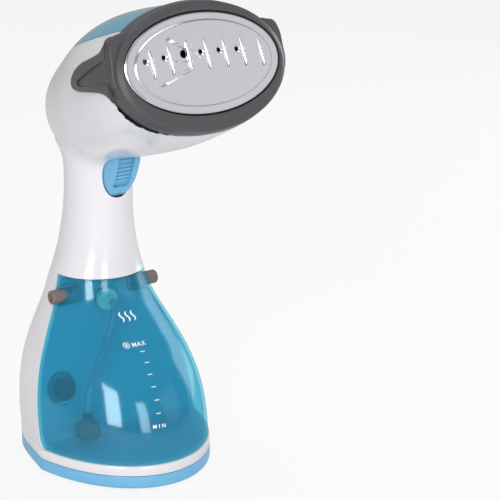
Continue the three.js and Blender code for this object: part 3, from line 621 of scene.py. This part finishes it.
class SteamerSizes(PropertyGroup):
    wall: length_property("Wall", 2.4 * MM, "Thickness of the housing's moulded wall")
    fillet: length_property("Neck fillet", 7 * MM, "How softly the handle runs into the head")
    grain: length_property("Mesh size", 1.35 * MM, "Edge length of the housing's mesh before it is cut")
    around: IntProperty(name="Segments", description="Corners round the tank, base and bezel", default=144, min=24)


def sizes():
    return bpy.context.scene.steamer_sizes


FINISHES = {}


def finish_of(slot):
    if slot not in FINISHES:
        raise RuntimeError("make the finishes before the piece that needs " + slot)
    return FINISHES[slot]


class STEAMER_OT_finishes(Operator):
    """Make the finishes and give them to the pieces of the frame"""
    bl_idname = "steamer.finishes"
    bl_label = "Finishes"

    def execute(self, context):
        c = context.scene.steamer_colours
        FINISHES.update({
            "white_shell": moulded("white_gloss_plastic", c.white_shell, 0.2, grain=0.01, coat=0.35, spread=0.015),
            "blue_cover": moulded("blue_gloss_plastic", c.blue_cover, 0.16, grain=0.01, coat=0.6),
            "light_blue": moulded("light_blue_plastic", c.light_blue, 0.3, grain=0.03, coat=0.1),
            "tank_blue": clear_plastic("clear_blue_plastic", [0.6, 0.93, 0.98, 1], c.tank_blue, 0.13, 0.1),
            "bezel_grey": moulded("satin_grey_plastic", c.bezel_grey, 0.34, grain=0.12, scale=1400.0),
            "button_grey": moulded("warm_grey_plastic", c.button_grey, 0.42, grain=0.15, scale=1400.0),
            "black_rubber": moulded("black_rubber", linear("1d1d1e"), 0.7, grain=0.3, scale=1600.0),
            "dark_plastic": moulded("dark_plastic", linear("26282b"), 0.45, grain=0.1),
            "natural_plastic": moulded("natural_plastic", linear("d9d6cc"), 0.4, grain=0.05),
            "clear_hose": clear_plastic("clear_hose", [0.8, 0.93, 0.97, 1], linear("8fb8c8"), 0.3, 0.2),
            "polished_plate": metal("polished_plate", c.plate, 0.19, brushing=(40.0, 1.0, 1.0), depth=0.02),
            "steel": metal("zinc_plated_steel", linear("aeb0b2"), 0.32),
            "cast_aluminium": metal("cast_aluminium", linear("b2b3b4"), 0.5, scale=30.0, depth=0.15),
            "brass": metal("brass", linear("c2a35a"), 0.3),
            "print": moulded("white_print", c.print_white, 0.5, grain=0.05),
        })
        slots = {part["node"]: part["material_slot"] for part in frame["record"]["subparts"]}
        for name, node in frame["nodes"].items():
            node.data.materials.clear()
            node.data.materials.append(finish_of(slots[name]))
        return {"FINISHED"}


# ---- Housing -------------------------------------------------------------------------------------
def tank_region(gap):
    """What the tank takes up ahead of its leaning rear edge and under the shoulder."""
    low, top = RIM_TOP + gap, TANK_TOP - gap
    rear = parting_y(low) - gap
    corner = bent((rear - TANK_CORNER, low), (rear, low), (parting_y(low + TANK_CORNER) - gap, low + TANK_CORNER), 6)
    outline = [(-FAR, low), (rear - TANK_CORNER, low), *corner, (parting_y(top) - gap, top), (-FAR, top)]
    return prism("tank_region", outline, 0, -FAR, FAR)


def joined_skin():
    """Body and head as one closed skin, with a soft fillet between them."""
    low, high = 6.0, 196.0
    body = ball("skin", 144, 110, lambda s, a, r: body_point(low + (high - low) * s, a, r))
    slices = lambda s: HEAD_FRONT_Y + (HEEL_Y - HEAD_FRONT_Y) * np.sin(s * math.pi / 2)
    head = ball("head_skin", 144, 110, lambda s, a, r: head_point(slices(s), a, r))
    skin = merged(body, head)
    modify(skin, "REMESH", mode="VOXEL", voxel_size=sizes().grain, adaptivity=0)
    points = in_tables(skin)
    inside = (points[:, 2] > low + 3) & (points[:, 1] > HEAD_FRONT_Y + 3)
    points[inside] = onto_shell(points[inside], sizes().fillet / MM)
    set_corners(skin, row(points))
    return skin


class STEAMER_OT_housing(Operator):
    """Model the white housing, the rear cover and the blue top cover"""
    bl_idname = "steamer.housing"
    bl_label = "Housing and covers"

    def execute(self, context):
        skin = joined_skin()
        combine(skin, "DIFFERENCE", tank_region(-GAP))
        whole = copied(skin, "whole")
        slice_off(skin, (0, 0, RIM_TOP + GAP), (0, 0, -1))
        slice_off(skin, at_plate((0, 0, -9)), (0, -math.cos(PLATE_TILT), math.sin(PLATE_TILT)))
        seam_normal = (0, 0.28, 1)
        for point, normal in (((0, 0, seam_z(0)), seam_normal), ((0, 0, seam_z(0) - GAP), seam_normal),
                              ((0, SPLIT_Y, 0), (0, 1, 0)), ((0, SPLIT_Y - GAP, 0), (0, 1, 0)),
                              ((0, 0, REAR_TOP_Z), (0, 0, 1)), ((0, 0, REAR_TOP_Z + GAP), (0, 0, 1))):
            slice_off(skin, point, normal, clear=False)
        tidy(skin)
        rear_of = lambda p, gap: (p[:, 1] > SPLIT_Y - gap) & (p[:, 2] < REAR_TOP_Z + gap)
        top_of = lambda p, gap: p[:, 2] > seam_z(p[:, 1]) - gap
        top = copied(skin, "top_shell")
        rear = copied(skin, "rear_shell")
        keep_faces(top, lambda p: top_of(p, 0) & ~rear_of(p, GAP))
        keep_faces(rear, lambda p: rear_of(p, 0))
        keep_faces(skin, lambda p: ~rear_of(p, GAP) & ~top_of(p, GAP))
        for piece in (skin, rear, top):
            modify(piece, "SOLIDIFY", thickness=sizes().wall, offset=-1, use_even_offset=True, thickness_clamp=1.0)
        self.fit_rear(rear, whole)
        self.open_housing(skin)
        skin.name = "front_shell"
        finish_piece(smooth(skin), "housing", "white_shell", finish_of("white_shell"), "main_housing")
        finish_piece(smooth(rear), "housing", "white_shell", finish_of("white_shell"), "rear_cover")
        finish_piece(smooth(top), "housing", "blue_cover", finish_of("blue_cover"), "top_cover")
        return {"FINISHED"}

    @staticmethod
    def fit_rear(rear, whole):
        """Screw sockets and the cord's opening."""
        sockets = [bar("socket", (x, SPLIT_Y + 0.2, z), (x, 80, z), 5.0) for x, z in COVER_SCREWS.values()]
        sockets = combine(merged(*sockets), "INTERSECT", whole)
        combine(rear, "UNION", sockets)
        holes = [bar("hole", (x, SPLIT_Y + 2.4, z), (x, 90, z), 3.4) for x, z in COVER_SCREWS.values()]
        shanks = [bar("shank", (x, 30, z), (x, SPLIT_Y + 3, z), 1.8, 20) for x, z in COVER_SCREWS.values()]
        gland = bar("gland", (0, 40, GLAND_Z), (0, 90, GLAND_Z), 7.1, 48)
        combine(rear, "DIFFERENCE", merged(*holes, gland), merged(*shanks))

    @staticmethod
    def open_housing(skin):
        """The trigger's opening, and the holes of the wall that the tank docks against."""
        spigot = bar("spigot", (0, 15, SPIGOT_Z), (0, 50, SPIGOT_Z), 5.2)
        x, z = FILLER
        plug = bar("plug", (x, 0, z), (x, 34, z), 10.5, 48)
        opening = combine(trigger_front(0.6), "INTERSECT", block("reach", -30, 30, -30, 18, 150, 198.5))
        combine(skin, "DIFFERENCE", spigot, plug, opening)


# ---- Base ----------------------------------------------------------------------------------------
def body_slab(name, levels, around=None):
    """A closed slab of the body's section from (height, inset) pairs."""
    height, inset = np.array(levels, float).T

    def place(share, angle, reach):
        level = np.round(share * (len(levels) - 1)).astype(int)
        return body_point(height[level], angle, reach, inset[level])

    return ball(name, around or sizes().around, len(levels) + 1, place)


class STEAMER_OT_base(Operator):
    """Model the blue base band, the white rim, the feet and the base's screws"""
    bl_idname = "steamer.base"
    bl_label = "Base"

    def execute(self, context):
        band = body_slab("base_band", [(FOOT_HEIGHT, 1.6), (FOOT_HEIGHT + 0.25, 0.8), (FOOT_HEIGHT + 0.8, 0.2),
                                       (FOOT_HEIGHT + 1.6, 0), (BAND_TOP - 0.5, 0), (BAND_TOP - 0.12, 0.12),
                                       (BAND_TOP, 0.5)])
        combine(band, "DIFFERENCE", body_slab("hollow", [(FOOT_HEIGHT + 2.2, 2.4), (BAND_TOP + 1, 2.4)]))
        rim = body_slab("base_rim_ring", [(BAND_TOP + GAP, 0.5), (BAND_TOP + GAP + 0.12, 0.12), (BAND_TOP + 0.8, 0),
                                          (RIM_TOP - 0.9, 0), (RIM_TOP - 0.25, 0.25), (RIM_TOP, 0.9)])
        combine(rim, "DIFFERENCE", body_slab("hollow", [(BAND_TOP - 1, 2.4), (RIM_TOP - 2.2, 2.4)]))
        posts = [bar("post", (x, y, FOOT_HEIGHT + 1), (x, y, BAND_TOP), 5) for x, y in BASE_SCREWS.values()]
        bores = [bar("bore", (x, y, -1), (x, y, 20), 1.8, 20) for x, y in BASE_SCREWS.values()]
        seats = [bar("seat", (x, y, -1), (x, y, FOOT_HEIGHT + 3), 3.4) for x, y in BASE_SCREWS.values()]
        combine(band, "UNION", merged(*posts))
        combine(band, "DIFFERENCE", merged(*bores), merged(*seats))
        finish_piece(smooth(band), "housing", "light_blue", finish_of("light_blue"), "base_plate")
        finish_piece(smooth(rim), "housing", "white_shell", finish_of("white_shell"), "base_rim")
        for place, (x, y) in FEET.items():
            foot = turned("rubber_foot_" + place, [(5.4, 0), (6.5, 0.12), (7, 0.5), (7, FOOT_HEIGHT - 0.1)],
                          lambda u, v, h, x=x, y=y: np.stack([u + x, v + y, h], -1))
            finish_piece(smooth(foot), "housing", "black_rubber", finish_of("black_rubber"), "foot_" + place)
        for place, (x, y) in BASE_SCREWS.items():
            cross_screw("base_cross_screw_" + place, 11, 3.0,
                        lambda u, v, h, x=x, y=y: np.stack([u + x, v + y, h + FOOT_HEIGHT + 0.7], -1),
                        "base_screw_" + place)
        for place, (x, z) in COVER_SCREWS.items():
            cross_screw("cover_cross_screw_" + place, 16, 3.0,
                        lambda u, v, h, x=x, z=z: np.stack([u + x, SPLIT_Y + 4.7 - h, v + z], -1),
                        "cover_screw_" + place)
        return {"FINISHED"}


def cross_screw(name, length, radius, place, node):
    """A pan-head screw with a cross recess; place takes heights from the head down the shank."""
    screw = turned(name, [(radius * 0.55, 0), (radius * 0.9, 0.25), (radius, 0.8), (radius, 2), (1.4, 2.02),
                          (1.4, length - 1.5), (0.3, length)], place, 32)
    for half in ((1.7, 0.32), (0.32, 1.7)):
        slot_outline = [(-half[0], -half[1]), (half[0], -half[1]), (half[0], half[1]), (-half[0], half[1])]
        slot = prism("slot", slot_outline, 2, -0.5, 1.1)
        points = in_tables(slot)
        set_corners(slot, row(place(points[:, 0], points[:, 1], points[:, 2])))
        combine(screw, "DIFFERENCE", face_outwards(slot))
    finish_piece(smooth(screw), "housing", "steel", finish_of("steel"), node)


# ---- Tank ----------------------------------------------------------------------------------------
def tank_skin(name, inset, foot=RIM_TOP - 1):
    low, high = foot, TANK_TOP + 4
    return ball(name, sizes().around, 90, lambda s, a, r: body_point(low + (high - low) * s, a, r, inset))


class STEAMER_OT_tank(Operator):
    """Model the clear tank with its button cups, the suction hose and the filter"""
    bl_idname = "steamer.tank"
    bl_label = "Water tank"

    def execute(self, context):
        inset = 0.6
        tank = combine(tank_skin("clear_tank", inset), "INTERSECT", tank_region(GAP))
        tidy(tank)
        modify(tank, "BEVEL", width=0.8 * MM, segments=3, limit_method="ANGLE", angle_limit=math.radians(50))
        room = tank_skin("room", inset + TANK_WALL, RIM_TOP + GAP + TANK_WALL)
        slice_off(room, (0, 0, TANK_TOP - GAP - TANK_WALL), (0, 0, 1), fill=True)
        combine(tank, "DIFFERENCE", room)
        outer = combine(tank_skin("outer", inset), "INTERSECT", tank_region(GAP + 0.1))
        _, y, z = BUTTON
        cups = [bar("cup", (side * (BUTTON_BORE_END - 1.8), y, z), (side * 60, y, z), BUTTON_RADIUS + 2, 48)
                for side in (-1, 1)]
        combine(tank, "UNION", combine(merged(*cups), "INTERSECT", outer))
        bores = [bar("bore", (side * BUTTON_BORE_END, y, z), (side * 62, y, z), BUTTON_RADIUS + GAP, 48)
                 for side in (-1, 1)]
        combine(tank, "DIFFERENCE", merged(*bores))
        finish_piece(smooth(tidy(tank), 30), "tank", "tank_blue", finish_of("tank_blue"), "water_tank")
        self.hose()
        self.filter()
        return {"FINISHED"}

    @staticmethod
    def hose():
        x, y, z = FILTER_FOOT
        top = parting_y(SPIGOT_Z) - 13.5
        clear_selection()
        bpy.ops.curve.primitive_nurbs_path_add()
        hose = named("suction_hose")
        spline = hose.data.splines[0]
        route = [(0, top + 0.3, SPIGOT_Z), (-0.3, top - 2, SPIGOT_Z - 0.6), (-1, top - 4.5, 95.5), (-7, 11, 80),
                 (-20, 6, 63), (x + 1.4, y + 1.2, 48), (x, y, z + 19), (x, y, z + 15.6)]
        spline.points.add(len(route) - len(spline.points))
        for point, place in zip(spline.points, row(route)):
            point.co = (*place, 1)
        spline.use_endpoint_u = True
        spline.order_u = 4
        spline.resolution_u = 10
        hose.data.bevel_depth = 2.5 * MM
        hose.data.bevel_resolution = 6
        hose.data.use_fill_caps = True
        bpy.ops.object.convert(target="MESH")
        hose = tidy(named("suction_hose"))
        finish_piece(smooth(hose, 50), "tank", "clear_hose", finish_of("clear_hose"), "suction_tube")

    @staticmethod
    def filter():
        x, y, z = FILTER_FOOT
        bell = turned("filter_bell", [(7.2, 0), (7.7, 0.4), (7.7, 1.6), (7.2, 1.9), (7.2, 2.4), (7.7, 2.7), (7.7, 4.6),
                                      (7.2, 6.4), (6.1, 8.3), (4.6, 9.6), (3.6, 10.3), (3.3, 11), (3.3, 14.6),
                                      (3.0, 15)],
                      lambda u, v, h: np.stack([u + x, v + y, h + z], -1), 96, 24, 0.25)
        finish_piece(smooth(bell), "tank", "dark_plastic", finish_of("dark_plastic"), "suction_filter")


# ---- Head ----------------------------------------------------------------------------------------
class STEAMER_OT_bezel(Operator):
    """Model the grey bezel with its two ears"""
    bl_idname = "steamer.bezel"
    bl_label = "Bezel"

    def execute(self, context):
        (a, b), (p, q) = RING_HALF, PLATE_HALF
        # (half width, half height, drop, height out of the plate) round the ring's section
        outside = [(0.28, -8.7), (0.28, -6.5), (0.28, -3.3), (0.0, -2.5), (-0.95, 0.6), (-1.2, 1.05), (-1.65, 1.25)]
        loop = [(a + grow, b + grow, RING_DROP, height) for grow, height in outside]
        loop += [(a - 3.0, b - 3.0, RING_DROP * 0.9, 1.75), (a - 3.7, b - 4.0, RING_DROP * 0.75, 2.15)]
        loop += [(p + grow, q + grow, 0, height) for grow, height in (
            (1.0, 2.4), (0.65, 2.3), (0.5, 2.0), (0.5, 1.6), (1.4, 1.5), (1.4, -4), (1.4, -8.7))]
        table = np.array(loop)
        ring = hoop("bezel_ring", 2 * sizes().around, len(loop), lambda k, t: at_plate(np.stack([
            table[k, 0] * np.sin(t), table[k, 1] * np.cos(t) - table[k, 2], table[k, 3]], -1)))
        swollen = self.head_skin("swollen", self.ear_thickness)
        combine(swollen, "DIFFERENCE", self.head_skin("bare", lambda point: GAP))
        combine(swollen, "INTERSECT", prism("outline", self.rounded_off(EAR_OUTLINE), 0, -FAR, FAR))
        facet = prism("facet", self.rounded_off(EAR_FACET), 0, -FAR, FAR)
        combine(facet, "DIFFERENCE", self.head_skin("floor", lambda point: self.ear_thickness(point) - 0.9))
        combine(swollen, "DIFFERENCE", facet)
        slice_off(swollen, at_plate((0, 0, -6)), (0, -math.cos(PLATE_TILT), math.sin(PLATE_TILT)), fill=True)
        combine(ring, "UNION", swollen, self.tab(1), self.tab(-1))
        finish_piece(smooth(tidy(ring), 32), "housing", "bezel_grey", finish_of("bezel_grey"), "bezel")
        return {"FINISHED"}

    @staticmethod
    def rounded_off(outline):
        """The outline with each corner cut twice, which leaves it softly rounded."""
        for _ in range(2):
            ahead = outline[1:] + outline[:1]
            outline = [tuple(np.array(a) * (1 - s) + np.array(b) * s) for a, b in zip(outline, ahead) for s in (0.2, 0.8)]
        return outline

    def tab(self, side):
        """The end of an ear that stands up beside the ring to its bevel."""
        tab = prism("tab", self.rounded_off([(side * x, y) for x, y in TAB_OUTLINE]), 2, -8.7, -0.5)
        modify(tab, "BEVEL", width=0.7 * MM, segments=3, limit_method="ANGLE", angle_limit=math.radians(60))
        (p, q), tables = PLATE_HALF, in_tables(tab)
        set_corners(tab, row(at_plate(tables)))
        return combine(face_outwards(tab), "DIFFERENCE", self.plate_room(p + 1.4, q + 1.4))

    @staticmethod
    def plate_room(half_width, half_height):
        room = turned("room", [(1, -30), (1, 0), (1, 30)],
                      lambda u, v, h: at_plate(np.stack([u * half_width, v * half_height, h], -1)), 96)
        return face_outwards(room)

    @staticmethod
    def ear_thickness(point):
        """Thin along the head's flank, with a shoulder beside the upper part of the ring."""
        upward = np.clip((point[..., 2] - 262) / 16, 0, 1)
        forward = np.clip((-point[..., 1] - 25) / 25, 0, 1)
        return 2.35 + 5.55 * upward ** 2 * (3 - 2 * upward) * forward ** 2 * (3 - 2 * forward)

    @staticmethod
    def head_skin(name, thickness):
        def place(share, angle, reach):
            y = HEAD_FRONT_Y + 98 * share
            return head_point(y, angle, reach, -thickness(head_point(y, angle, reach)))

        return ball(name, 160, 90, place)


class STEAMER_OT_plate(Operator):
    """Model the polished steam plate with its grooves and holes"""
    bl_idname = "steamer.plate"
    bl_label = "Steam plate"

    def execute(self, context):
        a, b = PLATE_HALF
        # (inset from the edge, height) from the back to the middle of the face
        steps = [(0.4, -2.5), (0, -2.2), (0, 0.9), (0.25, 1.5), (0.8, 1.95), (1.6, 2.2), (5.4, 2.2), (5.8, 2.3),
                 (6.2, 2.75), (6.6, 3.1), (7.2, 3.2), (10, 3.2)]
        inset, height = np.array(steps).T

        def place(share, angle, reach):
            level = np.round(share * (len(steps) - 1)).astype(int)
            return at_plate(np.stack([(a - inset[level]) * np.sin(angle) * reach,
                                      (b - inset[level] * 0.78) * np.cos(angle) * reach, height[level]], -1))

        plate = ball("polished_face", 192, len(steps) + 1, place)
        for index in range(HOLE_COUNT):
            x = (index - (HOLE_COUNT - 1) / 2) * HOLE_PITCH - 1.6
            y = 6.2 - 0.0013 * x * x
            self.groove(plate, x, y)
        smooth(tidy(plate), 20)
        modify(plate, "WEIGHTED_NORMAL", keep_sharp=True, weight=100)
        finish_piece(plate, "housing", "polished_plate", finish_of("polished_plate"), "steam_plate")
        return {"FINISHED"}

    @staticmethod
    def groove(plate, x, y):
        """An almond groove with the steam hole at its upper end."""
        def almond(share, angle, reach):
            polar = math.pi * (0.04 + 0.92 * (1 - share))
            wide = 1.55 * np.sin(polar) * (1 - 0.2 * np.cos(polar))
            up = y - 1.6 + 9.2 * np.cos(polar)
            return at_plate(np.stack([x + 3.2 - 0.11 * (up - y) + wide * np.sin(angle) * reach, up,
                                      3.2 - 1.5 * np.sin(polar) * np.cos(angle) * reach], -1))

        groove = ball("groove", 40, 34, almond)
        in_plate = lambda u, v, h: at_plate(np.stack([u + x, v + y, h], -1))
        hole = turned("hole", [(1.2, -6), (1.2, 2.2), (2.3, 3.1), (2.5, 4.2)], in_plate, 32)
        combine(plate, "DIFFERENCE", groove, hole)


# ---- Trigger -------------------------------------------------------------------------------------
def trigger_front(grow, half=9.8, top=197.0, bottom=168.0):
    half, top, bottom = half + grow, top + grow, bottom - grow
    outline = [(-half, top), (-half, 184)] + bent((-half, 184), (-half, bottom), (0, bottom)) \
        + bent((0, bottom), (half, bottom), (half, 184)) + [(half, top)]
    return prism("tongue", outline, 1, -30, 40)


class STEAMER_OT_trigger(Operator):
    """Model the steam trigger with its ridged recess"""
    bl_idname = "steamer.trigger"
    bl_label = "Trigger"

    def execute(self, context):
        side = [(1.8, 197), (2.0, 192)] + bent((2.0, 192), (4.8, 183), (9.2, 174.5)) \
            + bent((9.2, 174.5), (11, 170.5), (13.4, 168)) + [(15, 168), (15, 197)]
        paddle = prism("steam_trigger", side, 0, -12, 12)
        combine(paddle, "INTERSECT", trigger_front(0))
        modify(paddle, "BEVEL", width=0.9 * MM, segments=4, limit_method="ANGLE", angle_limit=math.radians(40))
        floor = [(4.4, 194.4), (4.5, 192)] + bent((4.5, 192), (7.3, 183), (11.4, 174.6))
        recess = combine(prism("recess", self.rounded(5.8, 174.6, 194.4, 1.4), 1, -10, 14), "INTERSECT",
                         prism("depth", [(-10, 194.5)] + floor + [(-10, 174.5)], 0, -7, 7))
        combine(paddle, "DIFFERENCE", tidy(recess), block("pocket", -8, 8, 9.5, 20, 185.4, 195))
        for y, z in bent((4.2, 192.2), (5.9, 184.5), (9.0, 178.6), 5) + [(4.2, 192.2)]:
            combine(paddle, "UNION", bar("ridge", (-5.6, y + 0.25, z), (5.6, y + 0.25, z), 0.95, 20))
        lever = block("lever", -9, 9, 10.5, 20, 193, 206)
        modify(lever, "BEVEL", width=0.5 * MM, segments=2)
        actuator = block("actuator", -2, 2, 9, 23.5, 181, 185)
        combine(paddle, "UNION", lever, actuator)
        combine(paddle, "DIFFERENCE", bar("pin", (-20, PIN_Y, 203), (20, PIN_Y, 203), 1.8))
        finish_piece(smooth(tidy(paddle)), "trigger", "light_blue", finish_of("light_blue"), "trigger")
        return {"FINISHED"}

    @staticmethod
    def rounded(half, low, high, radius):
        points = []
        for x, z, turn in ((half - radius, high - radius, 0), (-half + radius, high - radius, 1),
                           (-half + radius, low + radius, 2), (half - radius, low + radius, 3)):
            for step in range(5):
                angle = math.pi / 2 * (turn + step / 4)
                points.append((x + radius * math.cos(angle), z + radius * math.sin(angle)))
        return points


# ---- Buttons, gland and print --------------------------------------------------------------------
class STEAMER_OT_buttons(Operator):
    """Model the two release buttons and the cord gland"""
    bl_idname = "steamer.buttons"
    bl_label = "Buttons and gland"

    def execute(self, context):
        x, y, z = BUTTON
        r, length = BUTTON_RADIUS, BUTTON_LENGTH
        profile = [(r - 0.3, 0), (r, 0.3), (r, length - 2.6), (r - 0.25, length - 2.4), (r - 0.25, length - 2.0),
                   (r, length - 1.8), (r, length - 0.9), (r - 0.3, length - 0.3), (r - 0.9, length),
                   (2.7, length), (2.4, length - 0.25), (2.2, length - 1.1), (1.6, length - 1.4)]
        for side, name in ((-1, "left"), (1, "right")):
            knob = turned("release_knob_" + name, profile, lambda u, v, h, side=side: np.stack(
                [side * (x - length / 2 + h), v + y, u + z], -1), 64)
            finish_piece(smooth(knob), "release_" + name, "button_grey", finish_of("button_grey"),
                         "release_button_" + name)
        gland = washer("gland_sleeve", [(3.6, 56), (9.5, 56), (9.5, 60), (6.8, 60.3), (6.8, 66), (6.8, 68), (6.4, 68.3),
                                        (6.4, 69), (6.8, 69.3), (6.8, 71), (6.2, 71.8), (5.0, 72), (3.9, 72),
                                        (3.6, 71.6)],
                       lambda u, v, h: np.stack([u, h, v + GLAND_Z], -1))
        finish_piece(smooth(gland), "housing", "black_rubber", finish_of("black_rubber"), "cord_gland")
        return {"FINISHED"}


class STEAMER_OT_marks(Operator):
    """Print the fill scale on the tank"""
    bl_idname = "steamer.marks"
    bl_label = "Fill scale"

    def execute(self, context):
        shapes = [self.laid(self.wave(), x, 95.6) for x in (-7.8, -3.8, 0.2)]
        for x, z in ((-3.9, 77.8), (-4.4, 72.4), (-5.5, 66.6), (-6.1, 60.3), (-6.9, 53.4), (-7.9, 46.1)):
            shapes.append(self.laid(self.stroke(3.0, 0.5), x, z))
        shapes.append(self.laid(self.ring(2.1, 1.6), -12.0, 81.6))
        shapes.append(self.laid(self.ring(0.8, 0.0), -12.0, 81.6))
        shapes.append(self.laid(self.word("MAX", 4.1, 1.12), -3.9, 81.5))
        shapes.append(self.laid(self.word("MIN", 3.4, 1.7), -8.9, 38.9))
        marks = merged(*shapes)
        marks.name = "fill_scale"
        edit(marks)
        bpy.ops.mesh.normals_make_consistent(inside=False)
        done()
        finish_piece(marks, "tank", "white_shell", finish_of("print"))
        return {"FINISHED"}

    @staticmethod
    def laid(mark, x, z):
        """Lays a flat mark on the tank's face round a point, true to size along the slope."""
        points = in_tables(mark)
        points -= (points.min(0) + points.max(0)) / 2
        slope = [front_y(x + 1, z) - front_y(x - 1, z), front_y(x, z + 1) - front_y(x, z - 1)]
        across, rise = 1 / np.hypot(1, np.array(slope) / 2)
        points[:, 0] = x + points[:, 0] * across
        points[:, 2] = z + points[:, 2] * rise
        points[:, 1] += front_y(points[:, 0], points[:, 2], 0.6) - 0.08
        set_corners(mark, row(points))
        return mark

    @staticmethod
    def flat(outline):
        return prism("mark", outline, 1, 0.0, 0.1)

    def stroke(self, length, width):
        steps = np.linspace(-length / 2, length / 2, 7)
        return self.flat([(x, -width / 2) for x in steps] + [(x, width / 2) for x in steps[::-1]])

    def ring(self, outer, inner):
        if not inner:
            return self.flat([(outer * math.cos(t), outer * math.sin(t)) for t in np.linspace(0, 2 * math.pi, 25)[:-1]])
        return washer("mark", [(inner, 0), (outer, 0), (outer, 0.1), (inner, 0.1)],
                      lambda u, v, h: np.stack([u, h, v], -1), 32)

    def wave(self):
        """One of three rising curls that stand for steam."""
        t = np.linspace(0, 1, 21)
        middle = 0.9 * np.sin(t * 2 * math.pi)
        width = 0.55 * np.sin(t * math.pi) ** 0.5 + 0.12
        left = list(zip(middle - width, 7 * t))
        right = list(zip(middle + width, 7 * t))
        return self.flat(left + right[::-1])

    @staticmethod
    def word(text, size, spacing):
        clear_selection()
        bpy.ops.object.text_add()
        bpy.context.object.data.body = text
        bpy.context.object.data.size = size * MM
        bpy.context.object.data.extrude = 0.05 * MM
        bpy.context.object.data.offset = 0.06 * MM
        bpy.context.object.data.space_character = spacing
        bpy.ops.object.convert(target="MESH")
        letters = named("word")
        points = corners(letters) / MM
        set_corners(letters, row(np.stack([points[:, 0], points[:, 2], points[:, 1]], -1)))
        return letters


# ---- Stage ---------------------------------------------------------------------------------------
class STEAMER_OT_stage(Operator):
    """Set up the floor, the studio lights and the camera"""
    bl_idname = "steamer.stage"
    bl_label = "Stage"

    def execute(self, context):
        self.floor()
        self.world()
        self.lamp("key", (-1.28, -1.08, 0.68), 0.5, 1.1, 15.0)
        self.lamp("front_strip", (-0.34, -1.75, 0.55), 0.42, 1.0, 6.5)
        self.lamp("side_card", (1.5, 0.12, 0.28), 0.75, 1.0, 7.0)
        self.lamp("plate_card", (0.95, -1.2, 0.55), 0.9, 0.9, 1.1)
        self.lamp("top", (0.1, 0.2, 1.7), 1.2, 1.2, 9.0)
        self.camera()
        context.scene.view_settings.view_transform = "Standard"
        return {"FINISHED"}

    def floor(self):
        clear_selection()
        bpy.ops.mesh.primitive_plane_add(size=14)
        floor = named("studio_floor")
        finish = Finish("studio_floor")
        path = finish.node("ShaderNodeLightPath", output="Is Camera Ray")
        matt = finish.node("ShaderNodeBsdfPrincipled", None, {"Base Color": [0.8, 0.8, 0.81, 1], "Roughness": 0.8})
        glow = finish.node("ShaderNodeEmission", None, {"Color": [1, 1, 1, 1], "Strength": 1.0})
        floor.data.materials.append(finish.show(finish.node("ShaderNodeMixShader", None,
                                                            {0: path * 0.85, 1: matt, 2: glow})))

    @staticmethod
    def world():
        world = bpy.data.worlds.new("studio")
        world.use_nodes = True
        bpy.context.scene.world = world
        background = world.node_tree.nodes["Background"]
        background.inputs["Color"].default_value = (0.95, 0.97, 1, 1)
        background.inputs["Strength"].default_value = 0.42

    @staticmethod
    def lamp(name, place, width, height, power):
        clear_selection()
        bpy.ops.object.light_add(type="AREA", location=place)
        lamp = bpy.context.object
        lamp.name = name
        lamp.data.shape = "RECTANGLE"
        lamp.data.size = width
        lamp.data.size_y = height
        lamp.data.energy = power
        lamp.rotation_euler = (Vector((0, 0, 0.16)) - Vector(place)).to_track_quat("-Z", "Y").to_euler()

    @staticmethod
    def camera():
        turn, rise, away = math.radians(-34), math.radians(16.4), 0.924
        back = Vector((math.sin(turn) * math.cos(rise), -math.cos(turn) * math.cos(rise), math.sin(rise)))
        data = bpy.data.cameras.new("camera")
        camera = bpy.data.objects.new("camera", data)
        bpy.context.scene.collection.objects.link(camera)
        camera.location = Vector((0, SHIFT_Y, 0.15)) + back * away
        camera.rotation_euler = (-back).to_track_quat("-Z", "Y").to_euler()
        data.sensor_width = 36
        data.lens = 109.2
        data.shift_x = 0.242
        data.shift_y = -0.042
        data.clip_start = 0.01
        bpy.context.scene.camera = camera


class STEAMER_PT_panel(Panel):
    """The steamer's pieces, sizes and colours"""
    bl_idname = "STEAMER_PT_panel"
    bl_label = "Garment Steamer"
    bl_space_type = "VIEW_3D"
    bl_region_type = "UI"
    bl_category = "Steamer"

    def draw(self, context):
        for operator in OPERATORS:
            self.layout.operator(operator.bl_idname)
        for group in (context.scene.steamer_sizes, context.scene.steamer_colours):
            for key in group.bl_rna.properties.keys():
                if key not in ("rna_type", "name"):
                    self.layout.prop(group, key)


OPERATORS = (STEAMER_OT_finishes, STEAMER_OT_housing, STEAMER_OT_base, STEAMER_OT_tank, STEAMER_OT_bezel,
             STEAMER_OT_plate, STEAMER_OT_trigger, STEAMER_OT_buttons, STEAMER_OT_marks, STEAMER_OT_stage)
CLASSES = (SteamerColours, SteamerSizes, *OPERATORS, STEAMER_PT_panel)


def register():
    for cls in CLASSES:
        bpy.utils.register_class(cls)
    bpy.types.Scene.steamer_sizes = PointerProperty(type=SteamerSizes)
    bpy.types.Scene.steamer_colours = PointerProperty(type=SteamerColours)


def unregister():
    del bpy.types.Scene.steamer_colours
    del bpy.types.Scene.steamer_sizes
    for cls in reversed(CLASSES):
        bpy.utils.unregister_class(cls)


def main():
    register()
    bpy.ops.steamer.finishes()
    bpy.ops.steamer.housing()
    bpy.ops.steamer.base()
    bpy.ops.steamer.tank()
    bpy.ops.steamer.bezel()
    bpy.ops.steamer.plate()
    bpy.ops.steamer.trigger()
    bpy.ops.steamer.buttons()
    bpy.ops.steamer.marks()
    bpy.ops.steamer.stage()


if __name__ == "__main__":
    main()
